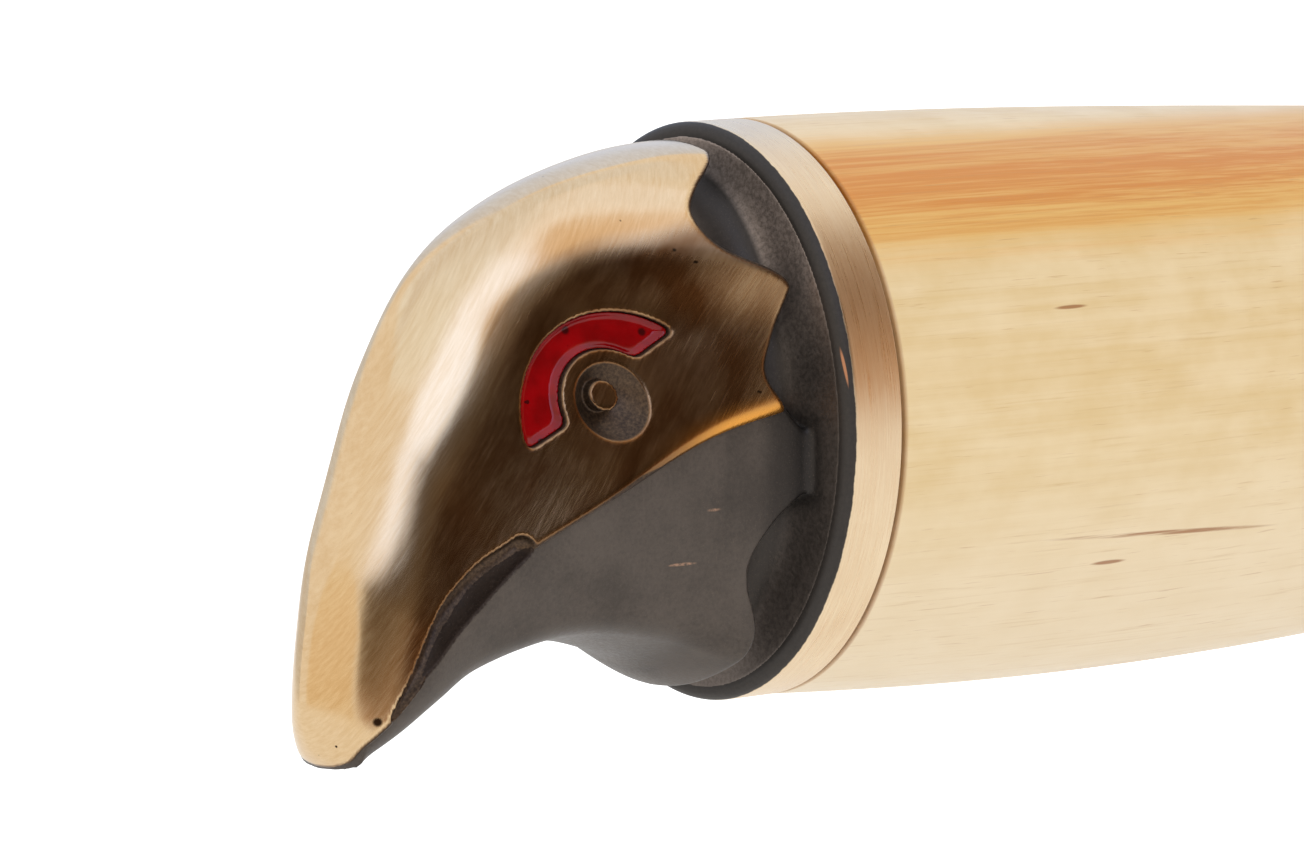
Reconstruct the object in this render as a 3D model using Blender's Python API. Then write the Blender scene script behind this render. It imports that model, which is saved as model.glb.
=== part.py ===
"""Puukko, a fixed-blade bushcraft knife with a cast bird-head pommel.

The knife lies along X with its point toward +X and its spine up. Its datum is the seat
where the pommel meets the grip, on the handle's axis: every piece is drawn from there and
hangs on one empty, which puts the middle of the grip, where a hand holds it, on the origin.
The bird looks toward -X, so its own left side is toward -Y.
"""
import math

import bmesh
import bpy
from mathutils import Matrix, Vector

MM = 0.001

# Fits
SEAT_GAP = 0.3 * MM
ENAMEL_GAP = 0.2 * MM
BED_WALL = 1.3 * MM
CUTTER_REACH = 20.0 * MM

# Pommel plate and neck
BUTT_HEIGHT = 31.0 * MM
BUTT_WIDTH = 23.9 * MM
PLATE_THICKNESS = 3.9 * MM
PLATE_EDGE_RADIUS = 0.7 * MM
NECK_HEIGHT = 25.0 * MM
NECK_WIDTH = 14.0 * MM
NECK_LENGTH = 7.0 * MM
NECK_COVE = 1.4 * MM

# Bird's head, drawn as (forward, up) from the plate's face and the handle's axis, in millimetres
CROWN_LINE = [(-14.9, 14.9), (-0.9, 14.7), (6.1, 14.15), (13.1, 12.3), (18.9, 9.05), (22.6, 4.0),
              (25.1, -2.0), (27.4, -8.0), (28.3, -13.0), (27.7, -15.3), (26.6, -16.5)]
MOUTH_LINE = [(-7.4, 2.0), (1.1, 0.3), (6.1, -0.9), (11.1, -2.9), (16.6, -5.5), (19.3, -7.2),
              (21.3, -9.6), (22.9, -12.2), (24.1, -14.2), (25.4, -15.5), (26.6, -16.5)]
KEEL_LINE = [(-8.9, -17.0), (1.8, -14.8), (6.6, -12.4), (12.3, -11.15), (18.0, -12.1),
             (20.9, -13.6), (23.7, -15.2), (26.6, -16.5)]
REAR_LINE = [(1.1, 17.0), (1.1, 14.4), (1.8, 13.5), (3.9, 12.1), (4.9, 10.8), (4.1, 9.2),
             (1.5, 7.8), (0.7, 7.0), (0.9, 6.2), (1.9, 4.1), (2.4, 2.3), (1.2, 0.3),
             (-0.7, -2.0), (-0.2, -3.5), (1.8, -5.3), (3.1, -7.2), (3.2, -8.7), (2.6, -10.8),
             (2.7, -13.0), (2.6, -17.5)]
SECTION_POLE = (6.1, -24.0)
REAR_ANGLE = math.radians(64.0)
BROW_ANGLE = math.radians(110.0)
NAPE_ANGLE = math.radians(80.0)
BEAK_TIP_TRIM = math.radians(0.12)
HEAD_SECTIONS = 32
BEAK_SECTION_CROWDING = 1.7
CROWN_TURNS = (25, 45, 62, 77, 90)
CHEEK_SHARES = (0.34, 0.67, 1.0)
THROAT_SHARES = (0.02, 0.3, 0.55, 0.75, 0.9, 0.97)

# Cheeks of the head: half width at the eye, taper toward the beak, lean toward the crown
EYE_FORWARD = 11.4 * MM
EYE_UP = 1.5 * MM
CHEEK_HALF_WIDTH = 6.1 * MM
CHEEK_TAPER = 0.283
CHEEK_LEAN = 0.30
LEAN_REACH = 11.0 * MM
CROWN_ROUND_FRONT = 3.0 * MM
CROWN_ROUND_REAR = 7.0 * MM
CROWN_FULLNESS_FRONT = 2.5
CROWN_FULLNESS_REAR = 2.0
CROWN_ROUND_LIMIT = 0.6
THROAT_STEP = 0.4 * MM
THROAT_STEP_LIMIT = 0.3
THROAT_LEAN = 0.1
THROAT_FULLNESS = 2.6

# Eye, brow and mouth of the head
EYE_RADIUS = 2.15 * MM
EYE_DEPTH = 0.8 * MM
PUPIL_RADIUS = 0.7 * MM
PUPIL_FORWARD = 0.4 * MM
PUPIL_UP = 0.3 * MM
BROW_INNER_RADIUS = 2.85 * MM
BROW_OUTER_RADIUS = 5.1 * MM
BROW_START = math.radians(-27.0)
BROW_END = math.radians(144.0)
BROW_DEPTH = 1.2 * MM
BROW_SINK = 0.25 * MM
BROW_STEPS = 24
MOUTH_GROOVE_RADIUS = 0.95 * MM
MOUTH_GROOVE_TIP = 0.35 * MM
MOUTH_START = math.radians(121.0)
MOUTH_END = math.radians(150.0)

# Grip
GRIP_LENGTH = 88.0 * MM
GRIP_FRONT_HEIGHT = 25.4 * MM
GRIP_FRONT_WIDTH = 18.6 * MM
GRIP_BELLY = 1.85 * MM
GRIP_SWELL = 0.5 * MM
GRIP_SECTIONS = 16
TENON_LENGTH = 5.0 * MM

# Front ferrule
FERRULE_LENGTH = 10.0 * MM
FERRULE_NOSE_HEIGHT = 24.0 * MM
FERRULE_NOSE_WIDTH = 16.0 * MM
FERRULE_WALL = 2.0 * MM
FERRULE_EDGE_RADIUS = 1.2 * MM

# Blade and its stick tang
BLADE_LENGTH = 106.0 * MM
BLADE_HEIGHT = 22.0 * MM
BLADE_THICKNESS = 4.0 * MM
SPINE_UP = 9.6 * MM
TIP_DROP = 6.5 * MM
GRIND_HEIGHT = 8.6 * MM
RICASSO_LENGTH = 5.0 * MM
RICASSO_GRIND = 1.6 * MM
SPINE_DROP_START = 0.3
BELLY_START = 0.58
BELLY_CURVE = 2.3
DISTAL_START = 0.72
POINT_SIZE = 0.3 * MM
FLAT_SHARE = 0.4
BLADE_SECTIONS = 26
TANG_SHOULDER = 0.3 * MM
TANG_HEIGHT = 10.0 * MM
TANG_END_HEIGHT = 7.0 * MM
TANG_CORNER = 0.8 * MM
SOCKET_DEPTH = 9.0 * MM

EDGE_TURNS = (0, 30, 60, 90)
ELLIPSE_SIDES = 72
BOWL_SIDES = 36
BOSS_SIDES = 20
CURVE_STEPS = 12

# Stations along the knife, measured from the seat between pommel and grip
PLATE_FACE = -PLATE_THICKNESS
GRIP_REAR = SEAT_GAP
GRIP_SHOULDER = GRIP_REAR + GRIP_LENGTH
TENON_END = GRIP_SHOULDER + TENON_LENGTH
FERRULE_REAR = GRIP_SHOULDER + SEAT_GAP
FERRULE_FRONT = FERRULE_REAR + FERRULE_LENGTH
BLADE_SHOULDER = FERRULE_FRONT + SEAT_GAP
SOCKET_END = -SOCKET_DEPTH
TANG_END = SOCKET_END + BED_WALL + 2 * SEAT_GAP
TANG_THICKNESS = BLADE_THICKNESS - 2 * TANG_SHOULDER


# Scene set-up

def clear_scene():
    for obj in list(bpy.data.objects):
        bpy.data.objects.remove(obj, do_unlink=True)


def new_collection(name):
    collection = bpy.data.collections.new(name)
    bpy.context.scene.collection.children.link(collection)
    return collection


def new_material(name, colour, roughness, metallic):
    material = bpy.data.materials.new(name)
    material.use_nodes = True
    shader = material.node_tree.nodes["Principled BSDF"]
    shader.inputs["Base Color"].default_value = (*colour, 1.0)
    shader.inputs["Roughness"].default_value = roughness
    shader.inputs["Metallic"].default_value = metallic
    return material


clear_scene()
parts = new_collection("bushcraft_knife")
cutters = new_collection("cutters")


# Shared modelling steps

def add_object(name, mesh, collection, material=None):
    """Links a mesh under the knife's empty, shaded smooth between its sharp edges."""
    mesh.shade_smooth()
    mesh.set_sharp_from_angle(angle=math.radians(35.0))
    obj = bpy.data.objects.new(name, mesh)
    collection.objects.link(obj)
    obj.parent = knife
    if material:
        mesh.materials.append(material)
    return obj


def add_cutter(name, mesh):
    """A tool body: it shapes other pieces and is no piece itself."""
    cutter = add_object(name, mesh, cutters)
    cutter.hide_render = True
    cutter.display_type = 'WIRE'
    return cutter


def combine(obj, tool, operation):
    modifier = obj.modifiers.new(tool.name, 'BOOLEAN')
    modifier.operation = operation
    modifier.solver = 'EXACT'
    modifier.object = tool


def mesh_from(bm, name):
    bmesh.ops.recalc_face_normals(bm, faces=bm.faces)
    mesh = bpy.data.meshes.new(name)
    bm.to_mesh(mesh)
    bm.free()
    return mesh


def loft(name, rings):
    """Closed skin through rings of equally many points, capped at both ends."""
    bm = bmesh.new()
    rows = [[bm.verts.new(point) for point in ring] for ring in rings]
    count = len(rows[0])
    for row, following in zip(rows, rows[1:]):
        for k in range(count):
            after = (k + 1) % count
            bm.faces.new((row[k], row[after], following[after], following[k]))
    bm.faces.new(rows[0])
    bm.faces.new(rows[-1])
    return mesh_from(bm, name)


def ellipse_ring(x, top, bottom, half_width):
    """Oval around the handle's axis; its upper and lower halves may differ in height."""
    ring = []
    for k in range(ELLIPSE_SIDES):
        angle = 2 * math.pi * k / ELLIPSE_SIDES
        rise = top if math.sin(angle) > 0 else bottom
        ring.append(Vector((x, half_width * math.cos(angle), rise * math.sin(angle))))
    return ring


def oval(x, height, width, inset=0.0):
    return ellipse_ring(x, height / 2 - inset, height / 2 - inset, width / 2 - inset)


def smooth_line(points):
    """Points along a curve that passes through each given point."""
    stops = [Vector(point) for point in points]
    stops = [2 * stops[0] - stops[1], *stops, 2 * stops[-1] - stops[-2]]
    line = []
    for before, start, end, after in zip(stops, stops[1:], stops[2:], stops[3:]):
        for k in range(CURVE_STEPS):
            t = k / CURVE_STEPS
            line.append(0.5 * (2 * start + (end - before) * t
                               + (2 * before - 5 * start + 4 * end - after) * t ** 2
                               + (3 * start - before - 3 * end + after) * t ** 3))
    line.append(stops[-2])
    return line


def prism(name, outline, reach):
    """Side-view outline of (x, z) points, drawn out to the same reach on both sides."""
    rings = [[Vector((x, side * reach, z)) for x, z in outline] for side in (-1, 1)]
    return loft(name, rings)


def tang_bar(name, front, rear, clearance):
    """Tapering bar along the tang, grown all round by a clearance, with eased long edges."""
    bm = bmesh.new()
    bmesh.ops.create_cube(bm, size=1.0)
    for vert in bm.verts:
        x = front if vert.co.x > 0 else rear
        share = (BLADE_SHOULDER - x) / (BLADE_SHOULDER - TANG_END)
        height = TANG_HEIGHT + (TANG_END_HEIGHT - TANG_HEIGHT) * share
        side = math.copysign(TANG_THICKNESS / 2 + clearance, vert.co.y)
        up = math.copysign(height / 2 + clearance, vert.co.z)
        vert.co = (x, side, up)
    long_edges = [edge for edge in bm.edges
                  if abs(edge.verts[0].co.x - edge.verts[1].co.x) > abs(front - rear) / 2]
    bmesh.ops.bevel(bm, geom=long_edges, offset=TANG_CORNER, segments=2, profile=0.5,
                    affect='EDGES')
    return mesh_from(bm, name)


# Form of the bird's head

def polar_line(points):
    """A drawn line as (angle, radius) about the pole that the head's sections fan from."""
    pole = Vector(SECTION_POLE)
    steps = []
    for point in smooth_line(points):
        arm = point - pole
        steps.append((math.atan2(arm.y, -arm.x), arm.length * MM))
    return steps


def radius_at(line, angle):
    """Distance from the pole to a line, in the direction of an angle."""
    for (a0, r0), (a1, r1) in zip(line, line[1:]):
        if a0 <= angle <= a1:
            return r0 + (r1 - r0) * (angle - a0) / (a1 - a0)
    return line[0][1] if angle < line[0][0] else line[-1][1]


crown_line = polar_line(CROWN_LINE)
mouth_line = polar_line(MOUTH_LINE)
keel_line = polar_line(KEEL_LINE)
BEAK_TIP_ANGLE = crown_line[-1][0]


def head_point(angle, radius):
    """Side-view place (x, z) in the knife of a point given about the pole."""
    forward = SECTION_POLE[0] * MM - radius * math.cos(angle)
    up = SECTION_POLE[1] * MM + radius * math.sin(angle)
    return PLATE_FACE - forward, up


def cheek(x, z):
    """Half width of the flat cheek at a side-view place, before the crown's rounding."""
    behind_eye = x - (PLATE_FACE - EYE_FORWARD)
    lean = CHEEK_LEAN * math.exp(-(behind_eye / LEAN_REACH) ** 2)
    return CHEEK_HALF_WIDTH + CHEEK_TAPER * behind_eye - lean * (z - EYE_UP)


def nape_share(angle):
    """Zero from the brow to the beak, easing to one at the nape."""
    share = (BROW_ANGLE - angle) / (BROW_ANGLE - NAPE_ANGLE)
    share = min(max(share, 0.0), 1.0)
    return share * share * (3 - 2 * share)


def crown_round(angle):
    """Depth over which the crown rounds into the cheek, larger toward the nape."""
    return CROWN_ROUND_FRONT + (CROWN_ROUND_REAR - CROWN_ROUND_FRONT) * nape_share(angle)


def hood_half_width(angle, depth):
    """Half width of the hood at a depth under the crown, measured toward the pole."""
    x, z = head_point(angle, radius_at(crown_line, angle) - depth)
    short = max(0.0, 1 - depth / crown_round(angle))
    fullness = CROWN_FULLNESS_FRONT + (CROWN_FULLNESS_REAR - CROWN_FULLNESS_FRONT) * nape_share(angle)
    return cheek(x, z) * (1 - short ** fullness) ** (1 / fullness)


def head_ring(angle):
    """One section of the head: crown, cheek, step under the mouth line, throat and keel."""
    crown = radius_at(crown_line, angle)
    mouth = min(radius_at(mouth_line, angle), crown)
    keel = min(radius_at(keel_line, angle), mouth)
    hood_depth = crown - mouth
    rounding = min(crown_round(angle), CROWN_ROUND_LIMIT * hood_depth)
    depths = [rounding * (1 - math.cos(math.radians(turn))) for turn in CROWN_TURNS]
    depths += [rounding + (hood_depth - rounding) * share for share in CHEEK_SHARES]
    profile = [(crown - depth, hood_half_width(angle, depth)) for depth in depths]
    edge = profile[-1][1]
    jaw = edge - min(THROAT_STEP, THROAT_STEP_LIMIT * edge)
    for share in THROAT_SHARES:
        fullness = (1 - share ** THROAT_FULLNESS) ** (1 / THROAT_FULLNESS)
        profile.append((mouth - (mouth - keel) * share, jaw * (1 - THROAT_LEAN * share) * fullness))
    ring = []
    for side, run in ((-1, profile), (1, profile[::-1])):
        if side == -1:
            ring.append((crown, 0.0))
        else:
            ring.append((keel, 0.0))
        ring += [(radius, side * width) for radius, width in run]
    points = []
    for radius, y in ring:
        x, z = head_point(angle, radius)
        points.append(Vector((x, y, z)))
    return points


def make_head_tool():
    """Skin over the fan of sections, which stand closer together toward the beak's tip."""
    last = BEAK_TIP_ANGLE - BEAK_TIP_TRIM
    rings = []
    for k in range(HEAD_SECTIONS + 1):
        share = 1 - (1 - k / HEAD_SECTIONS) ** BEAK_SECTION_CROWDING
        rings.append(head_ring(REAR_ANGLE + (last - REAR_ANGLE) * share))
    return add_cutter("head_form", loft("head_form", rings))


def make_rear_cutter():
    """Takes off everything behind the scalloped rear edge of the hood and the throat."""
    edge = [(PLATE_FACE - p.x * MM, p.y * MM) for p in smooth_line(REAR_LINE)]
    back = PLATE_FACE + CUTTER_REACH
    outline = [*edge, (back, edge[-1][1]), (back, edge[0][1])]
    return add_cutter("rear_edge_cutter", prism("rear_edge_cutter", outline, CUTTER_REACH))


# Eye, brow and mouth

def cheek_place(along, up):
    """Point on the cheek, given along it from the eye's middle: forward and up."""
    x = PLATE_FACE - EYE_FORWARD - along / math.hypot(1, CHEEK_TAPER)
    z = EYE_UP + up / math.hypot(1, CHEEK_LEAN)
    return x, z


def cheek_normal(side):
    return Vector((-CHEEK_TAPER, side, CHEEK_LEAN)).normalized()


def make_eye_cutter(side, label):
    """Shallow bowl with a round boss left standing in it for the pupil."""
    normal = cheek_normal(side)
    sphere_radius = (EYE_RADIUS ** 2 + EYE_DEPTH ** 2) / (2 * EYE_DEPTH)
    x, z = cheek_place(0.0, 0.0)
    centre = Vector((x, side * cheek(x, z), z)) + normal * (sphere_radius - EYE_DEPTH)
    bm = bmesh.new()
    bmesh.ops.create_uvsphere(bm, u_segments=BOWL_SIDES, v_segments=BOWL_SIDES,
                              radius=sphere_radius)
    turn = normal.to_track_quat('Z', 'Y').to_matrix().to_4x4()
    bmesh.ops.transform(bm, matrix=Matrix.Translation(centre) @ turn, verts=bm.verts)
    bowl = add_cutter("eye_bowl_" + label, mesh_from(bm, "eye_bowl_" + label))
    x, z = cheek_place(PUPIL_FORWARD, PUPIL_UP)
    boss_centre = Vector((x, side * cheek(x, z), z))
    bm = bmesh.new()
    bmesh.ops.create_cone(bm, cap_ends=True, segments=BOSS_SIDES, radius1=PUPIL_RADIUS,
                          radius2=PUPIL_RADIUS, depth=4 * sphere_radius)
    bmesh.ops.transform(bm, matrix=Matrix.Translation(boss_centre) @ turn, verts=bm.verts)
    boss = add_cutter("pupil_boss_" + label, mesh_from(bm, "pupil_boss_" + label))
    combine(bowl, boss, 'DIFFERENCE')
    return bowl


def brow_band(name, side, inset, floor, top):
    """Band round the eye that follows the cheek, between two depths under its surface."""
    inner = BROW_INNER_RADIUS + inset
    outer = BROW_OUTER_RADIUS - inset
    trim = inset / inner
    rings = []
    for k in range(BROW_STEPS + 1):
        angle = BROW_START + trim + (BROW_END - BROW_START - 2 * trim) * k / BROW_STEPS
        ring = []
        for radius, depth in ((inner, floor), (outer, floor), (outer, top), (inner, top)):
            x, z = cheek_place(radius * math.cos(angle), radius * math.sin(angle))
            ring.append(Vector((x, side * (cheek(x, z) - depth), z)))
        rings.append(ring)
    return loft(name, rings)


def make_mouth_cutter(side, label):
    """Round-bottomed groove along the mouth line, narrower toward the beak's tip."""
    curve = bpy.data.curves.new("mouth_groove_" + label, 'CURVE')
    curve.dimensions = '3D'
    curve.bevel_depth = MOUTH_GROOVE_RADIUS
    curve.bevel_resolution = 3
    curve.use_fill_caps = True
    spline = curve.splines.new('POLY')
    spline.points.add(CURVE_STEPS)
    for k, point in enumerate(spline.points):
        share = k / CURVE_STEPS
        angle = MOUTH_START + (MOUTH_END - MOUTH_START) * share
        mouth = radius_at(mouth_line, angle)
        width = hood_half_width(angle, radius_at(crown_line, angle) - mouth)
        x, z = head_point(angle, mouth)
        point.co = (x, side * width, z, 1.0)
        point.radius = 1 + (MOUTH_GROOVE_TIP / MOUTH_GROOVE_RADIUS - 1) * share ** 2
    tube = bpy.data.objects.new("mouth_tube_" + label, curve)
    cutters.objects.link(tube)
    bpy.context.view_layer.update()
    evaluated = tube.evaluated_get(bpy.context.evaluated_depsgraph_get())
    bm = bmesh.new()
    bm.from_mesh(bpy.data.meshes.new_from_object(evaluated))
    bmesh.ops.remove_doubles(bm, verts=bm.verts, dist=1e-6)
    bpy.data.objects.remove(tube, do_unlink=True)
    return add_cutter("mouth_groove_" + label, mesh_from(bm, "mouth_groove_" + label))


# Pieces

def make_pommel():
    """Bronze casting: oval plate with a rounded rim, recessed neck and the bird's head."""
    radius = PLATE_EDGE_RADIUS
    rings = [oval(0.0, BUTT_HEIGHT, BUTT_WIDTH)]
    for degrees in EDGE_TURNS:
        turn = math.radians(degrees)
        x = PLATE_FACE + radius * (1 - math.sin(turn))
        rings.append(oval(x, BUTT_HEIGHT, BUTT_WIDTH, radius * (1 - math.cos(turn))))
    for degrees in reversed(EDGE_TURNS):
        turn = math.radians(degrees)
        x = PLATE_FACE - NECK_COVE * (1 - math.sin(turn))
        flare = NECK_COVE * (1 - math.cos(turn))
        rings.append(oval(x, NECK_HEIGHT, NECK_WIDTH, -flare))
    rings.append(oval(PLATE_FACE - NECK_LENGTH, NECK_HEIGHT, NECK_WIDTH))
    bronze = new_material("cast_bronze", (0.50, 0.36, 0.20), 0.32, 1.0)
    pommel = add_object("pommel", loft("pommel", rings), parts, bronze)
    head = make_head_tool()
    combine(head, make_rear_cutter(), 'DIFFERENCE')
    combine(pommel, head, 'UNION')
    socket = tang_bar("tang_socket", SEAT_GAP, SOCKET_END, BED_WALL + 2 * SEAT_GAP)
    combine(pommel, add_cutter("tang_socket", socket), 'DIFFERENCE')
    for side, label in ((-1, "left"), (1, "right")):
        recess = brow_band("brow_recess_" + label, side, 0.0, BROW_DEPTH, -BROW_DEPTH)
        combine(pommel, add_cutter("brow_recess_" + label, recess), 'DIFFERENCE')
        combine(pommel, make_eye_cutter(side, label), 'DIFFERENCE')
        combine(pommel, make_mouth_cutter(side, label), 'DIFFERENCE')


def make_brows():
    """Red enamel fired into the two brow recesses, a little below the bronze."""
    red = new_material("red_enamel", (0.36, 0.003, 0.004), 0.08, 0.0)
    for side, label in ((-1, "left"), (1, "right")):
        name = "brow_enamel_" + label
        band = brow_band(name, side, ENAMEL_GAP, BROW_DEPTH - ENAMEL_GAP, BROW_SINK)
        add_object(name, band, parts, red)


def grip_station(share):
    """Height above and below the axis and half width of the grip along its length."""
    ease = share * share * (3 - 2 * share)
    bulge = math.sin(math.pi * share)
    top = BUTT_HEIGHT / 2 + (GRIP_FRONT_HEIGHT - BUTT_HEIGHT) / 2 * ease
    side = BUTT_WIDTH / 2 + (GRIP_FRONT_WIDTH - BUTT_WIDTH) / 2 * ease
    return top, top + GRIP_BELLY * bulge, side + GRIP_SWELL * bulge


def make_grip():
    """Birch grip with the butt's oval section, a slim belly and a tenon for the ferrule."""
    rings = []
    for k in range(GRIP_SECTIONS + 1):
        share = k / GRIP_SECTIONS
        rings.append(ellipse_ring(GRIP_REAR + GRIP_LENGTH * share, *grip_station(share)))
    tenon_inset = FERRULE_WALL + SEAT_GAP
    for x in (GRIP_SHOULDER, TENON_END):
        rings.append(oval(x, GRIP_FRONT_HEIGHT, GRIP_FRONT_WIDTH, tenon_inset))
    birch = new_material("birch", (0.78, 0.60, 0.36), 0.45, 0.0)
    grip = add_object("grip", loft("grip", rings), parts, birch)
    bore = tang_bar("grip_bore", TENON_END + CUTTER_REACH, -CUTTER_REACH, BED_WALL + 2 * SEAT_GAP)
    combine(grip, add_cutter("grip_bore", bore), 'DIFFERENCE')


def make_ferrule():
    """Bronze cap over the grip's tenon, slotted for the tang and rounded at its nose."""
    radius = FERRULE_EDGE_RADIUS
    rings = [oval(FERRULE_REAR, GRIP_FRONT_HEIGHT, GRIP_FRONT_WIDTH)]
    for degrees in EDGE_TURNS:
        turn = math.radians(degrees)
        x = FERRULE_FRONT - radius * (1 - math.sin(turn))
        inset = radius * (1 - math.cos(turn))
        rings.append(oval(x, FERRULE_NOSE_HEIGHT, FERRULE_NOSE_WIDTH, inset))
    bronze = new_material("ferrule_bronze", (0.62, 0.44, 0.24), 0.28, 1.0)
    ferrule = add_object("front_ferrule", loft("front_ferrule", rings), parts, bronze)
    cup_rings = []
    for x in (FERRULE_REAR - SEAT_GAP, TENON_END + SEAT_GAP):
        cup_rings.append(oval(x, GRIP_FRONT_HEIGHT, GRIP_FRONT_WIDTH, FERRULE_WALL))
    combine(ferrule, add_cutter("tenon_cup", loft("tenon_cup", cup_rings)), 'DIFFERENCE')
    slot = tang_bar("ferrule_slot", BLADE_SHOULDER, GRIP_SHOULDER, SEAT_GAP)
    combine(ferrule, add_cutter("ferrule_slot", slot), 'DIFFERENCE')


def blade_ring(along):
    """Blade section: flat sides, one straight grind on each side and the edge between."""
    share = along / BLADE_LENGTH
    dropped = max(0.0, share - SPINE_DROP_START) / (1 - SPINE_DROP_START)
    spine = SPINE_UP - TIP_DROP * dropped ** 2
    swept = max(0.0, share - BELLY_START) / (1 - BELLY_START)
    rise = BLADE_HEIGHT - TIP_DROP - POINT_SIZE
    edge = SPINE_UP - BLADE_HEIGHT + rise * swept ** BELLY_CURVE
    full_grind = min(1.0, max(0.0, along - RICASSO_LENGTH) / RICASSO_LENGTH)
    grind = RICASSO_GRIND + (GRIND_HEIGHT - RICASSO_GRIND) * full_grind
    bevel = min(edge + grind, spine - FLAT_SHARE * (spine - edge))
    thin = max(0.0, share - DISTAL_START) / (1 - DISTAL_START)
    half = BLADE_THICKNESS / 2 + (POINT_SIZE - BLADE_THICKNESS) / 2 * thin ** 2
    x = BLADE_SHOULDER + along
    corners = ((-half, spine), (half, spine), (half, bevel), (0.0, edge), (-half, bevel))
    return [Vector((x, y, z)) for y, z in corners]


def make_blade():
    """Carbon-steel blade with its stick tang, which runs the whole length of the handle."""
    stations = [0.0, RICASSO_LENGTH, 1.5 * RICASSO_LENGTH]
    first = 2 * RICASSO_LENGTH
    for k in range(BLADE_SECTIONS + 1):
        stations.append(first + (BLADE_LENGTH - first) * k / BLADE_SECTIONS)
    steel = new_material("blade_steel", (0.56, 0.57, 0.58), 0.25, 1.0)
    blade = add_object("blade", loft("blade", [blade_ring(s) for s in stations]), parts, steel)
    tang = tang_bar("tang", BLADE_SHOULDER + SEAT_GAP, TANG_END, 0.0)
    combine(blade, add_cutter("tang", tang), 'UNION')


def make_bedding():
    """Hard resin that beds the tang: a sleeve in the grip and a plug in the pommel."""
    resin = new_material("bedding_resin", (0.20, 0.14, 0.08), 0.5, 0.0)
    grow = BED_WALL + SEAT_GAP
    sleeve = tang_bar("grip_bedding", TENON_END - SEAT_GAP, GRIP_REAR + SEAT_GAP, grow)
    sleeve = add_object("grip_bedding", sleeve, parts, resin)
    hole = tang_bar("sleeve_hole", TENON_END + CUTTER_REACH, -CUTTER_REACH, SEAT_GAP)
    combine(sleeve, add_cutter("sleeve_hole", hole), 'DIFFERENCE')
    plug = tang_bar("pommel_bedding", -SEAT_GAP, SOCKET_END + SEAT_GAP, grow)
    plug = add_object("pommel_bedding", plug, parts, resin)
    pocket = tang_bar("plug_pocket", CUTTER_REACH, TANG_END - SEAT_GAP, SEAT_GAP)
    combine(plug, add_cutter("plug_pocket", pocket), 'DIFFERENCE')


knife = bpy.data.objects.new("knife", None)
parts.objects.link(knife)
knife.location.x = -(GRIP_REAR + GRIP_LENGTH / 2)

make_blade()
make_ferrule()
make_grip()
make_bedding()
make_pommel()
make_brows()
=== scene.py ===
import math

import bmesh
import bpy
import numpy as np
from mathutils import Matrix, Quaternion, Vector


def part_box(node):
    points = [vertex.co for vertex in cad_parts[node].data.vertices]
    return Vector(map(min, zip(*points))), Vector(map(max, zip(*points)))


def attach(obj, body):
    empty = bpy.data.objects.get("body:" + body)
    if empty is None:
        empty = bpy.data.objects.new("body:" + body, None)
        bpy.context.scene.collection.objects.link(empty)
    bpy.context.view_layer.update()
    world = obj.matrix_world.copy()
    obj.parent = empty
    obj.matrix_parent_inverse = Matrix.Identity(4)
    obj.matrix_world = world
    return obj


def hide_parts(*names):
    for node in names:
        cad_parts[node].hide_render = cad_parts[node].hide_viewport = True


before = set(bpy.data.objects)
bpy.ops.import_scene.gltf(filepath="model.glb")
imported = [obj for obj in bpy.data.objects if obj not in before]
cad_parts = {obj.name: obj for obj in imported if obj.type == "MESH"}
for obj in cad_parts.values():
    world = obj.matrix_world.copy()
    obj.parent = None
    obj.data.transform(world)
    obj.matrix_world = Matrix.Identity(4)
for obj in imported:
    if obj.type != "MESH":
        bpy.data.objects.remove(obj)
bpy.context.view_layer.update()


# Blade: forged carbon steel with one straight grind on each side and a fine edge bevel.
# Its flats are brushed lengthwise and its grind crosswise, and its tang runs through the handle.
# Lengths are in millimetres from the seat, where the handle's axis meets the pommel's front face.
MM = 0.001
butt_height = 31.0
seat = Vector(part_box("pommel")[1]) / MM
seat.y = 0.0
seat.z -= butt_height / 2
blade_shoulder = 98.64
blade_length = 106.26
blade_height = 22.0
blade_thickness = 4.0
spine_up = 9.6
tip_drop = 6.5
spine_drop_start = 0.3
grind_height = 8.6
ricasso_length = 5.0
ricasso_grind = 1.6
belly_start = 0.58
belly_curve = 2.3
distal_start = 0.72
point_size = 0.3
flat_share = 0.4
spine_ease = 0.25
spine_bow = 0.3
edge_bevel = 0.55
edge_hollow = 0.86
blade_stations = 220
blade_sharp = 5.0
tang_height = 10.0
tang_end_height = 7.0
tang_thickness = 3.4
tang_lap = 0.2
tang_end = -7.1


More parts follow.
